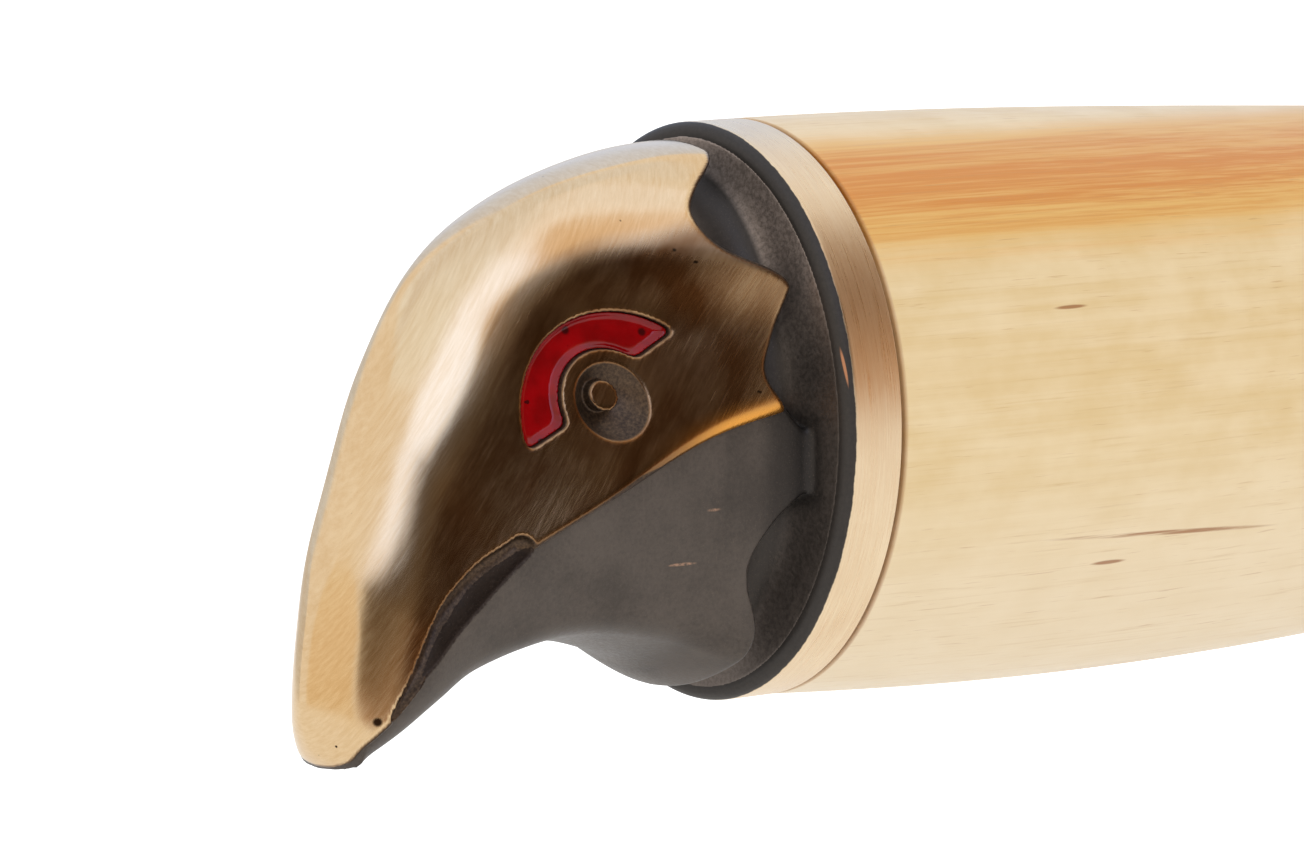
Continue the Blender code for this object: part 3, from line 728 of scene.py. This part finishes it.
def mirrored(half):
    """Whole field from its half at y >= 0."""
    return np.concatenate([half[:, :0:-1, :], half], axis=1).astype(np.float32)


cell_corners = np.array([(i, j, k) for i in (0, 1) for j in (0, 1) for k in (0, 1)])


def sampled(field, spots):
    """Field at places given in grid steps, read between the grid's points."""
    limit = np.array(field.shape) - 1.001
    spots = np.clip(spots, 0, limit)
    base = spots.astype(int)
    part = spots - base
    total = np.zeros(len(spots))
    for corner in cell_corners:
        share = np.where(corner, part, 1 - part).prod(axis=1)
        total += share * field[tuple((base + corner).T)]
    return total


def slope_at(field, spots, reach):
    """Steepest climb of the field at places given in grid steps."""
    slope = np.empty(spots.shape)
    for axis in range(3):
        offset = np.zeros(3)
        offset[axis] = reach
        slope[:, axis] = (sampled(field, spots + offset) - sampled(field, spots - offset)) / (2 * reach)
    return slope


def cast_skin(name, field, low, pitch, marks, most):
    """Closed mesh on the zero level of a field, with smooth normals and named surface marks.

    Each grid cell that the level crosses gets one point, which is then drawn onto the level."""
    draws, draw_reach, longest_draw = 3, 0.5, 0.4
    normal_reach = 0.8
    tiny = 1e-9
    inside = field < 0
    cell = tuple(np.array(field.shape) - 1)
    some = np.zeros(cell, bool)
    every = np.ones(cell, bool)
    for i, j, k in cell_corners:
        part = inside[i:cell[0] + i, j:cell[1] + j, k:cell[2] + k]
        some |= part
        every &= part
    cells = np.argwhere(some & ~every)
    number = np.full(cell, -1, np.int32)
    number[tuple(cells.T)] = np.arange(len(cells))
    total = np.zeros(cells.shape)
    count = np.zeros(len(cells))
    for corner in cell_corners:
        for axis in np.flatnonzero(corner == 0):
            way = np.eye(3, dtype=int)[axis]
            start = field[tuple((cells + corner).T)].astype(float)
            end = field[tuple((cells + corner + way).T)].astype(float)
            crossed = (start < 0) != (end < 0)
            share = start[crossed] / (start[crossed] - end[crossed])
            total[crossed] += corner + share[:, None] * way
            count[crossed] += 1
    spots = cells + total / count[:, None]
    for _ in range(draws):
        slope = slope_at(field, spots, draw_reach)
        value = sampled(field, spots)
        step = value[:, None] * slope / np.maximum((slope ** 2).sum(1), tiny)[:, None]
        size = np.sqrt((step ** 2).sum(1))[:, None]
        spots = spots - step * np.minimum(1.0, longest_draw / np.maximum(size, tiny))
    quads = []
    for axis in range(3):
        u, v = (axis + 1) % 3, (axis + 2) % 3
        edges = np.argwhere(np.diff(inside, axis=axis))
        edges = edges[(edges[:, u] > 0) & (edges[:, v] > 0)]
        outward = inside[tuple(edges.T)]
        ring = []
        for du, dv in ((1, 1), (0, 1), (0, 0), (1, 0)):
            place = edges.copy()
            place[:, u] -= du
            place[:, v] -= dv
            ring.append(number[tuple(place.T)])
        quad = np.column_stack(ring)
        quad[~outward] = quad[~outward, ::-1]
        quads.append(quad)
    quads = np.vstack(quads)
    mesh = bpy.data.meshes.new(name)
    mesh.from_pydata(in_frame(low + spots * pitch).tolist(), [], quads.tolist())
    carrier = put(name, mesh)
    thinned = carrier.modifiers.new("thinned", 'DECIMATE')
    thinned.ratio = min(1.0, most / (2 * len(quads)))
    mesh = settled(carrier)
    flat = np.empty(len(mesh.vertices) * 3)
    mesh.vertices.foreach_get("co", flat)
    spots = (flat.reshape(-1, 3) / MM - np.array(seat) - low) / pitch
    slope = slope_at(field, spots, normal_reach)
    mesh.shade_smooth()
    mesh.normals_split_custom_set_from_vertices(slope / np.linalg.norm(slope, axis=1)[:, None])
    for mark, values in marks.items():
        layer = mesh.attributes.new(mark, 'FLOAT', 'POINT')
        layer.data.foreach_set("value", sampled(values, spots).astype(np.float32))
    return mesh


# The hood's outer skin is cut along the mouth and the nape, then sunk for brow, eye and groove.
view = HeadView(head_low, hood_high, hood_pitch)
skin = view.skin()
rolled = hood_edge + rolled_edge * eased(view.degrees, *rolled_fan)
mouth_cut = view.below_mouth - rolled_drop * (rolled - hood_edge)
hood = common(skin, spread(mouth_cut), spread(rolled))
hood = common(hood, spread(view.behind), hood_edge)
recess = np.maximum(spread(view.brow()), -(skin + recess_depth))
hood = common(hood, -recess, recess_edge)
from_eye = view.from_spot(0.0, 0.0)
bowl_radius = (eye_radius ** 2 + eye_depth ** 2) / (2 * eye_depth)
bowl = np.sqrt(spread(from_eye) ** 2 + (skin - (bowl_radius - eye_depth)) ** 2) - bowl_radius
from_pupil = view.from_spot(pupil_ahead, pupil_up)
bowl = np.maximum(bowl, spread(pupil_radius - from_pupil))
hood = common(hood, -bowl, recess_edge)
hood = common(hood, -view.groove(skin), recess_edge)
above_mouth = np.broadcast_to(-spread(view.below_mouth), skin.shape)
below_ridge = np.broadcast_to(spread(view.depth / view.round_depth), skin.shape)
hood_marks = {"depth": mirrored(-skin), "edge": mirrored(above_mouth), "cheek": mirrored(below_ridge)}
hood_mesh = cast_skin("pommel_hood", mirrored(hood), view.mirror_low, hood_pitch, hood_marks,
                      casting_triangles)

hood_bronze, place = new_finish("polished_hood_bronze")
depth = place.attribute("depth")
stroke_turn = (0.0, math.radians(52.0), 0.0)
strokes = place.turned(stroke_turn).grain((0.45, 1.6, 7.0), 4.0, 0.6)
fine = place.turned(stroke_turn).grain((0.7, 4.0, 16.0), 4.0, 0.7)
cloud = place.noise(0.16, 4.0, 0.55)
speck = place.noise(6.0, 3.0, 0.7)
bright = (strokes * 0.45 + fine * 0.25 + cloud * 0.3).ramp(0.32, 0.68)
polished = bright.tint(paint(216, 181, 135), paint(230, 201, 160))
cheek = place.attribute("cheek")
rear_reach = place.axis("X").ramp(-14.0, -8.0, 0.0, 0.28)
flank = (cheek + rear_reach).ramp(0.85, 1.15)
around_eye = place.turned(place=(-eye_x, 0.0, -eye_z)).turned(scale=(1.0, 0.0, 1.0)).length()
swirl = around_eye.ramp(5.6, 7.4) * around_eye.ramp(7.4, 9.6, 1.0, 0.0)
swirl = swirl * place.axis("X").ramp(-16.0, -11.0)
# Patchy mask for the cheeks' brown, which is partly real patina and partly painted shade.
grime_and_shade = place.turned(stroke_turn).grain((0.2, 0.3, 0.5), 4.0, 0.6)
grime_and_shade = grime_and_shade.ramp(0.3, 0.7, 0.65, 0.95)
brushed_rear = place.axis("X").ramp(-15.0, -5.0, 0.0, 0.10)
scratch = (strokes * 0.3 + fine * 0.7).ramp(0.44, 0.66, 0.0, 0.05)
soft_ridge = cheek.ramp(0.70, 0.86) * cheek.ramp(0.98, 1.15, 1.0, 0.0)
soft_ridge = soft_ridge * place.axis("Z").ramp(1.0, 6.0, 0.0, 0.09)
# Brown on the cheeks and nape below the ridge, with a ring round the eye: part real patina, part painted
# shade.
patina_and_shade = flank * (grime_and_shade + swirl * 0.2) * place.axis("X").ramp(-12.0, -5.0, 1.0, 0.78)
polished = patina_and_shade.tint(polished, paint(122, 82, 48))
pits = place.flecks(hood_pits) + place.noise(1.7, 2.0, 0.5).ramp(0.76, 0.79)
polished = pits.tint(polished, paint(60, 44, 30))
# Painted reflection: an orange glow along the rolled lip over the mouth. The lip is also kept free of the
# dark outline and of blackening.
glowing_lip = place.attribute("edge").ramp(0.3, 1.7, 1.0, 0.0) * place.axis("X").ramp(-15.0, -8.0)
polished = glowing_lip.tint(polished, paint(240, 166, 76))
# Painted shade: a brown outline where the skin starts to dip into the recesses.
polished = (depth.ramp(0.004, 0.03, 0.0, 0.75) * (1.0 - glowing_lip)).tint(polished, paint(112, 80, 54))
worn = (depth + (speck - 0.5) * 0.04 - glowing_lip).ramp(0.02, 0.06)
blackened = (speck * 0.6 + cloud * 0.4).ramp(0.35, 0.7).tint(paint(52, 38, 28), paint(100, 78, 58))
gloss = (strokes * 0.5 + cloud * 0.5).ramp(0.3, 0.7, 0.14, 0.19)
grain = (strokes * 0.6 + fine * 0.4) * (flank * 5.0 + 0.3)
feed(hood_bronze, base_color=worn.tint(polished, blackened), metallic=1.0 - worn * 0.35,
     roughness=worn * 0.2 + gloss + flank * (brushed_rear + scratch) + soft_ridge,
     normal=relief(grain + worn * speck * 3.0, 0.0012))
add_piece("pommel_hood", hood_mesh, hood_bronze, ["pommel"])


# Pommel throat: the throat, neck and plate of the same bronze casting, which stay blackened.
# The throat runs up under the hood and back to the neck and the plate, which it joins in a cove.
plate_inset = 0.72
plate_proud = 0.02
plate_corner = 0.06
neck_height = 25.0
neck_width = 14.0
neck_length = 4.0
neck_rise = 1.8
neck_rise_span = (0.0, 8.0)
neck_cove = 2.4
throat_step = 0.4
throat_step_share = 0.3
lip_step = 0.12
lip_fan = (117.0, 127.0)
throat_lean = 0.32
lean_limit = 1.2
lean_curve = 1.6
keel_fall = 0.12
keel_ease = 1.0
keel_ease_share = 0.35
throat_edge = 0.3
throat_lap = 1.4
throat_clear = 0.1
throat_cove = 0.5
throat_rear = -3.0
tip_cut = 5.0
mouth_clear = 0.25
hood_core = 1.6
throat_rubs = [((-9.6, -6.4, -4.53), (0.6, 2.0, 0.13), 0.0), ((-11.3, -6.4, -7.28), (1.1, 2.0, 0.10), 0.0),
               ((-3.9, -6.7, -5.9), (0.6, 0.4, 0.6), 0.6), ((-3.9, -3.6, 10.8), (0.5, 0.4, 0.1), 0.0)]
throat_high = (-2.6, 12.6, 15.6)
throat_pitch = 0.13
view = HeadView(head_low, throat_high, throat_pitch)
y = view.y[None, :, None]
step = throat_step - (throat_step - lip_step) * eased(view.degrees, *lip_fan)
jaw = view.mouth_edge - np.minimum(step, throat_step_share * view.mouth_edge)
fall = np.maximum(view.jaw_share, 0.0)
width = jaw * (1 - throat_lean * np.minimum(fall, lean_limit) ** lean_curve)
across = y / spread(width)
underside = (spread(fall - 1) + keel_fall * across * across) * spread(view.jaw_height)
keel_round = np.minimum(keel_ease, keel_ease_share * view.jaw_height)
throat = common(y - spread(width), underside, spread(keel_round))
skin = view.skin()
throat = np.maximum(throat, spread(-view.below_mouth - throat_lap))
past_beak = np.maximum(view.degrees - np.degrees(beak_angle), -tip_cut)
throat = np.maximum(throat, spread(past_beak))
throat = np.maximum(throat, skin + throat_clear)
throat = common(throat, spread(view.behind), throat_edge)
groove = view.groove(skin)
throat = common(throat, -groove, recess_edge)
hood_cover = np.maximum(view.below_mouth + mouth_clear, view.behind + throat_clear)
under_hood = np.maximum(spread(hood_cover), -skin - hood_core)
x = view.x[:, None, None]
z = view.z[None, None, :]


def oval_gap(height, width):
    """Distance in the end view to an oval round the handle's axis, negative inside."""
    span = np.sqrt((y / (width / 2)) ** 2 + (z / (height / 2)) ** 2)
    steep = np.sqrt((y / (width / 2) ** 2) ** 2 + (z / (height / 2) ** 2) ** 2)
    return (span - 1) * span / np.maximum(steep, 1e-4)


plate_oval = oval_gap(butt_height - 2 * plate_inset, butt_width - 2 * plate_inset)
plate = common(plate_face - plate_proud - x, plate_oval, plate_corner)
neck_reach = neck_length + neck_rise * eased(z, *neck_rise_span)
neck = np.maximum(oval_gap(neck_height, neck_width), plate_face - neck_reach - x)
body = joined(plate, neck, neck_cove)
# The fold mark grows away from the crease between the throat and the neck and plate, for painted shade in
# that crease.
throat_marks = {"groove": mirrored(groove), "fold_shade": mirrored(body + throat)}
body = np.maximum(joined(body, throat, throat_cove), x - throat_rear)
body = np.maximum(body, -under_hood)
throat_mesh = cast_skin("pommel_throat", mirrored(body), view.mirror_low, throat_pitch, throat_marks,
                        casting_triangles)

black_bronze, place = new_finish("blackened_bronze", metallic=0.65)
grit = place.noise(4.5, 4.0, 0.7)
pepper = place.noise(14.0, 2.0, 0.6)
cloud = place.noise(0.22, 4.0, 0.6)
shade = (grit * 0.45 + cloud * 0.55).ramp(0.3, 0.7)
black = shade.tint(paint(72, 64, 58), paint(97, 87, 79))
copper = place.flecks(throat_rubs) * grit.ramp(0.35, 0.6)
# Painted shade: darker towards the neck and plate, under the hood.
shaded_recess = place.axis("X").ramp(-7.2, -5.8)
black = (shaded_recess * 0.7).tint(black, grit.tint(paint(40, 36, 33), paint(62, 55, 50)))
up = place.axis("Z")
lit = up.ramp(2.0, 10.0, 0.15, 0.95) + up.ramp(-13.0, -7.0, 0.20, 0.0)
sheen = place.axis("X").ramp(-4.5, -4.2) * lit
black = (sheen * grit.ramp(0.3, 0.7, 0.5, 1.0)).tint(black, paint(172, 155, 144))
# Painted shade in the crease where the throat joins the neck and plate.
black = place.attribute("fold_shade").ramp(0.1, 1.3, 0.8, 0.0).tint(black, paint(30, 27, 25))
black = copper.tint(black, paint(168, 132, 108))
groove = place.attribute("groove") + (grit - 0.5) * 0.25
black = groove.ramp(0.02, 0.16, 1.0, 0.0).tint(black, grit.tint(paint(32, 22, 16), paint(64, 48, 37)))
black = (pepper.ramp(0.62, 0.74) * 0.4).tint(black, paint(120, 104, 92))
feed(black_bronze, base_color=black, roughness=grit.ramp(0.3, 0.7, 0.36, 0.50),
     normal=relief(grit * 0.6 + pepper * 0.4, 0.02))
add_piece("pommel_throat", throat_mesh, black_bronze, ["pommel"])


# Pommel rim: the edge of the same casting's oval plate, which seats on the grip's rear end.
# It is brushed bright round its girth, up to the ragged edge of the blackening.
plate_edge = 0.7
plate_bore = 14.0
rim_seat_edge = 0.1
rim_rub = [((-3.72, -11.5, 2.6), (0.07, 0.6, 1.3), 0.06)]
rim_stations = 90
rim_sides = 181
rim_bronze, place = new_finish("brushed_rim_bronze")
along_rim = place.grain((10.0, 0.22, 0.22), 5.0, 0.7)
fine_rim = place.grain((26.0, 0.6, 0.6), 3.0, 0.6)
cloud = place.noise(0.2, 4.0)
ragged = place.noise(0.9, 4.0, 0.7)
edge_line = place.axis("X") + (ragged - 0.5) * 0.22
blackened = edge_line.ramp(-3.42, -3.34, 1.0, 0.0)
grit = place.noise(4.5, 4.0, 0.7)
rim = (along_rim * 0.5 + fine_rim * 0.2 + cloud * 0.3).ramp(0.34, 0.66)
rim = rim.tint(paint(228, 198, 160), paint(244, 222, 188))
dark_edge = grit.tint(paint(40, 35, 31), paint(66, 58, 52))
dark_edge = place.flecks(rim_rub).tint(dark_edge, paint(190, 128, 88))
feed(rim_bronze, base_color=blackened.tint(rim, dark_edge),
     metallic=1.0 - blackened * 0.65,
     roughness=blackened * 0.2 + along_rim.ramp(0.25, 0.75, 0.24, 0.38),
     normal=relief(along_rim * 0.6 + fine_rim * 0.4, 0.012))
rim_mesh = turned_piece("pommel_rim", rim_bronze, rim_stations, rim_sides,
                        start=plate_face, length=plate_thickness,
                        rear_height=butt_height, rear_width=butt_width,
                        front_height=butt_height, front_width=butt_width,
                        rear_edge=plate_edge, front_edge=rim_seat_edge,
                        bore_height=plate_bore, bore_width=bore_width)
add_piece("pommel_rim", rim_mesh, rim_bronze, ["pommel"])


# Brow enamel: glossy red glass fired into the recess over each eye.
# It shrinks as it cools, so it stands higher along the walls and hollows in the middle.
brow_low = (-21.5, 1.5, -2.0)
brow_high = (-9.5, 8.5, 7.4)
enamel_pitch = 0.085
enamel_gap = 0.03
enamel_bed = 0.1
enamel_climb = 0.16
enamel_hollow = 0.42
enamel_bank = 0.38
enamel_edge = 0.08
enamel_triangles = 60000
enamel_pits = [((-16.7, -4.6, 5.3), (0.3, 2.0, 0.3), 0.0), ((-12.5, -5.9, 4.95), (0.28, 2.0, 0.28), 0.0)]
enamel, place = new_finish("fired_red_enamel", roughness=0.08, specular_ior_level=0.3, coat_weight=0.12,
                           coat_roughness=0.03)
cloud = place.noise(0.6, 3.0)
pit = place.flecks(enamel_pits) + place.noise(1.3, 2.0, 0.4).ramp(0.72, 0.75)
red = cloud.ramp(0.3, 0.7).tint(paint(118, 0, 3), paint(148, 0, 6))
feed(enamel, base_color=(pit * 0.85).tint(red, paint(38, 4, 6)), normal=relief(cloud, 0.03))
view = HeadView(brow_low, brow_high, enamel_pitch)
skin = view.skin()
brow = spread(view.brow())
sunk = enamel_climb + (enamel_hollow - enamel_climb) * eased(-brow, 0.0, enamel_bank)
glass = common(brow + enamel_gap, skin + sunk, enamel_edge)
glass = np.maximum(glass, -(skin + recess_depth - enamel_bed)).astype(np.float32)
sides = {"left": (glass[:, ::-1, :], view.mirror_low), "right": (glass, np.array(brow_low))}
for label, (field, low) in sides.items():
    mesh = cast_skin("brow_glaze_" + label, field, low, enamel_pitch, {}, enamel_triangles)
    add_piece("brow_glaze_" + label, mesh, enamel, ["brow_enamel_" + label])


# Studio: a pale floor well under the knife, which is held up, and soft light from above and the left.
# Cards that only reflections see stand round the head, as the walls and boards of a studio do.
floor_level = -0.062
floor_reach = 12.0
floor_in_metal = 0.25
floor_corners = []
for x, y in ((-1, -1), (1, -1), (1, 1), (-1, 1)):
    floor_corners.append((x * floor_reach, y * floor_reach, floor_level))
floor_mesh = bpy.data.meshes.new("floor")
floor_mesh.from_pydata(floor_corners, [], [(0, 1, 2, 3)])
floor = put("floor", floor_mesh)
floor_paint, place = new_finish("pale_floor", roughness=0.9, emission_strength=1.0)
seen = place.node("ShaderNodeLightPath", out="Is Camera Ray")
seen = seen + place.node("ShaderNodeLightPath", out="Is Glossy Ray") * floor_in_metal
mottle = place.noise(0.01, 3.0)
feed(floor_paint, base_color=mottle.tint(paint(244, 244, 243), paint(248, 248, 247)),
     emission_color=seen.tint(paint(0, 0, 0), paint(203, 203, 203)))
floor_mesh.materials.append(floor_paint)

sky_level = 0.9
sky_seen_more = 0.1
world = bpy.data.worlds.new("studio")
bpy.context.scene.world = world
world.use_nodes = True
sky = world.node_tree.nodes["Background"]
sky.inputs["Color"].default_value = (1, 1, 1, 1)
air = Tone(world.node_tree, None)
shown = air.node("ShaderNodeLightPath", out="Is Camera Ray")
for ray in ("Is Glossy Ray", "Is Transmission Ray"):
    shown = shown.maths("MAXIMUM", air.node("ShaderNodeLightPath", out=ray))
world.node_tree.links.new((shown * sky_seen_more + sky_level).socket, sky.inputs["Strength"])

head_middle = Vector(in_frame((-14.0, 0.0, 0.0)))


def arm_to(azimuth, elevation):
    """Unit arm from the bird's head, by degrees round the upright axis and above the level."""
    a, e = math.radians(azimuth), math.radians(elevation)
    return Vector((math.cos(a) * math.cos(e), math.sin(a) * math.cos(e), math.sin(e)))


def add_softbox(name, azimuth, elevation, distance, width, height, energy, lean, tone):
    """Soft area light that looks at the bird's head, and that reflections don't show."""
    lamp = bpy.data.lights.new(name, 'AREA')
    lamp.shape = 'RECTANGLE'
    lamp.size = width
    lamp.size_y = height
    lamp.energy = energy
    lamp.color = tone
    box = put(name, lamp)
    arm = arm_to(azimuth, elevation)
    box.location = head_middle + arm * distance
    facing = (-arm).to_track_quat('-Z', 'Y') @ Quaternion((0, 0, 1), math.radians(lean))
    box.rotation_euler = facing.to_euler()
    box.visible_glossy = False


add_softbox("strip_softbox", azimuth=-94.0, elevation=40.0, distance=0.9, width=1.25, height=0.22,
            energy=0.75, lean=34.0, tone=(0.55, 0.80, 1.0))
add_softbox("left_softbox", azimuth=230.0, elevation=25.0, distance=0.9, width=0.6, height=0.6,
            energy=0.15, lean=0.0, tone=(1.0, 1.0, 1.0))

card_distance = 1.6
card_columns = 40
card_rows = 12
card_waver = 2.0


def add_card(name, foot, skyline, tones, strength=1.0):
    """Curved card that only reflections see, between two lines of (azimuth, elevation) points.

    Tones are (elevation, colour) stops from the card's foot to its top."""
    corners, rises, faces = [], [], []
    for row in range(card_rows + 1):
        for azimuth in np.linspace(skyline[0][0], skyline[-1][0], card_columns + 1):
            low = np.interp(azimuth, *zip(*foot))
            high = np.interp(azimuth, *zip(*skyline))
            rise = low + (high - low) * row / card_rows
            corners.append(head_middle + arm_to(azimuth, rise) * card_distance)
            rises.append(rise)
    for row in range(card_rows):
        first = row * (card_columns + 1)
        for k in range(first, first + card_columns):
            faces.append((k, k + 1, k + card_columns + 2, k + card_columns + 1))
    mesh = bpy.data.meshes.new(name)
    mesh.from_pydata(corners, [], faces)
    mesh.attributes.new("rise", 'FLOAT', 'POINT').data.foreach_set("value", rises)
    card = put(name, mesh)
    paper, place = new_finish(name, base_color=(0, 0, 0, 1), roughness=0.9, emission_strength=strength)
    level = place.attribute("rise") + (place.noise(0.004, 2.0) - 0.5) * card_waver
    tone = (*tones[0][1], 1.0)
    for (low, _), (high, colour) in zip(tones, tones[1:]):
        tone = level.ramp(low, high).tint(tone, (*colour, 1.0))
    feed(paper, emission_color=tone)
    mesh.materials.append(paper)
    card.visible_camera = False
    card.visible_diffuse = False
    card.visible_shadow = False


cheek_line = [(-121, 16.2), (-113, 17.8), (-109, 19.2), (-104, 18.3), (-95, 21.7), (-89.5, 25)]
temple_line = [(-84, 31), (-83, 34), (-81, 38), (-78, 41), (-62, 43)]
board_rise = [(-83.5, 49), (-78, 54), (-74, 56.5)]
board_foot = [(-130, 15.5), *cheek_line, (-88.2, 33), (-87.2, 42), *board_rise, (-60, 60), (-42, 63)]
board_top = [(-130, 17), (-124, 22), (-119, 23.5), (-116.5, 26.5), (-108.5, 33.5), (-104, 36.5), (-97, 42),
             (-94, 48.4), (-88, 53), (-79, 58.5), (-70, 61), (-63, 62.6), (-49, 66.8), (-42, 69)]
ceiling_foot = [(-180, 50), (-140, 46), (-124, 36), (-108.5, 34), (-97, 43), (-94, 49), (-88, 53.5),
                (-79, 59), (-70, 61.5), (-63, 63.1), (-49, 67.3), (-42, 69.5), (0, 62), (60, 61),
                (112, 40), (180, 50)]
add_card("dark_wall", [(-128, -8), (-62, -8)], [(-128, 15.5), *cheek_line, *temple_line],
         [(-2.1, (0.50, 0.29, 0.17)), (3.0, (0.16, 0.112, 0.064)), (16.0, (0.068, 0.048, 0.027)),
          (22.0, (0.062, 0.043, 0.025)), (40.0, (0.46, 0.31, 0.19))])
add_card("brown_wall", [(-62, -8), (-10, -8)], [(-62, 43), (-10, 38)],
         [(0.0, (0.60, 0.355, 0.20)), (23.6, (0.22, 0.13, 0.075)), (42.2, (0.46, 0.31, 0.19))])
add_card("temple_card", [(-87, 27), *temple_line], [(-87, 39), (-86.8, 42), *board_rise, (-62, 59.5)],
         [(27.0, (0.74, 0.56, 0.40)), (50.0, (0.92, 0.76, 0.60))])
add_card("bright_board", board_foot, board_top,
         [(17.0, (0.50, 0.52, 0.62)), (22.0, (0.55, 0.67, 1.0)), (40.0, (0.55, 0.67, 1.0)),
          (58.0, (0.49, 0.54, 0.68))], strength=2.5)
add_card("cool_ceiling", ceiling_foot, [(-180, 88), (180, 88)],
         [(34.0, (0.88, 1.0, 1.18)), (62.0, (0.75, 0.82, 0.96))], strength=1.2)
add_card("far_wall", [(0, -5), (112, -5)], [(0, 40), (30, 45), (60, 60), (80, 40), (112, 22)],
         [(0.0, (0.72, 0.72, 0.71)), (20.6, (0.74, 0.88, 1.15)), (58.4, (0.80, 0.95, 1.3))])
add_card("warm_wall", [(-195, -8), (-132, -8)], [(-195, 20), (-185, 24), (-150, 20), (-132, 16)],
         [(0.0, (0.90, 0.78, 0.58)), (10.6, (0.94, 0.84, 0.68)), (22.0, (0.97, 0.92, 0.80))])


# Camera: a long lens that looks along the knife from beyond the bird's left cheek.
# Its place and its turns are fitted to the oval rim of the pommel's plate in the photograph.
image_width = 1304
focal_pixels = 8431.2
sensor_width = 36.0
camera_place = (-311.424, -326.668, 30.278)
yaw, pitch, roll = math.radians(42.99), math.radians(4.0), math.radians(-2.04)
forward = Vector((math.sin(yaw) * math.cos(pitch), math.cos(yaw) * math.cos(pitch), -math.sin(pitch)))
right = Vector((math.cos(yaw), -math.sin(yaw), 0.0))
up = right.cross(forward)
rolled_right = math.cos(roll) * right + math.sin(roll) * up
rolled_up = -math.sin(roll) * right + math.cos(roll) * up
lens = bpy.data.cameras.new("camera")
lens.sensor_width = sensor_width
lens.lens = focal_pixels / image_width * sensor_width
lens.clip_start = 0.01
camera = put("camera", lens)
turn = Matrix((rolled_right, rolled_up, -forward)).transposed().to_4x4()
camera.matrix_world = Matrix.Translation(in_frame(camera_place)) @ turn
bpy.context.scene.camera = camera
bpy.context.scene.view_settings.view_transform = 'Standard'
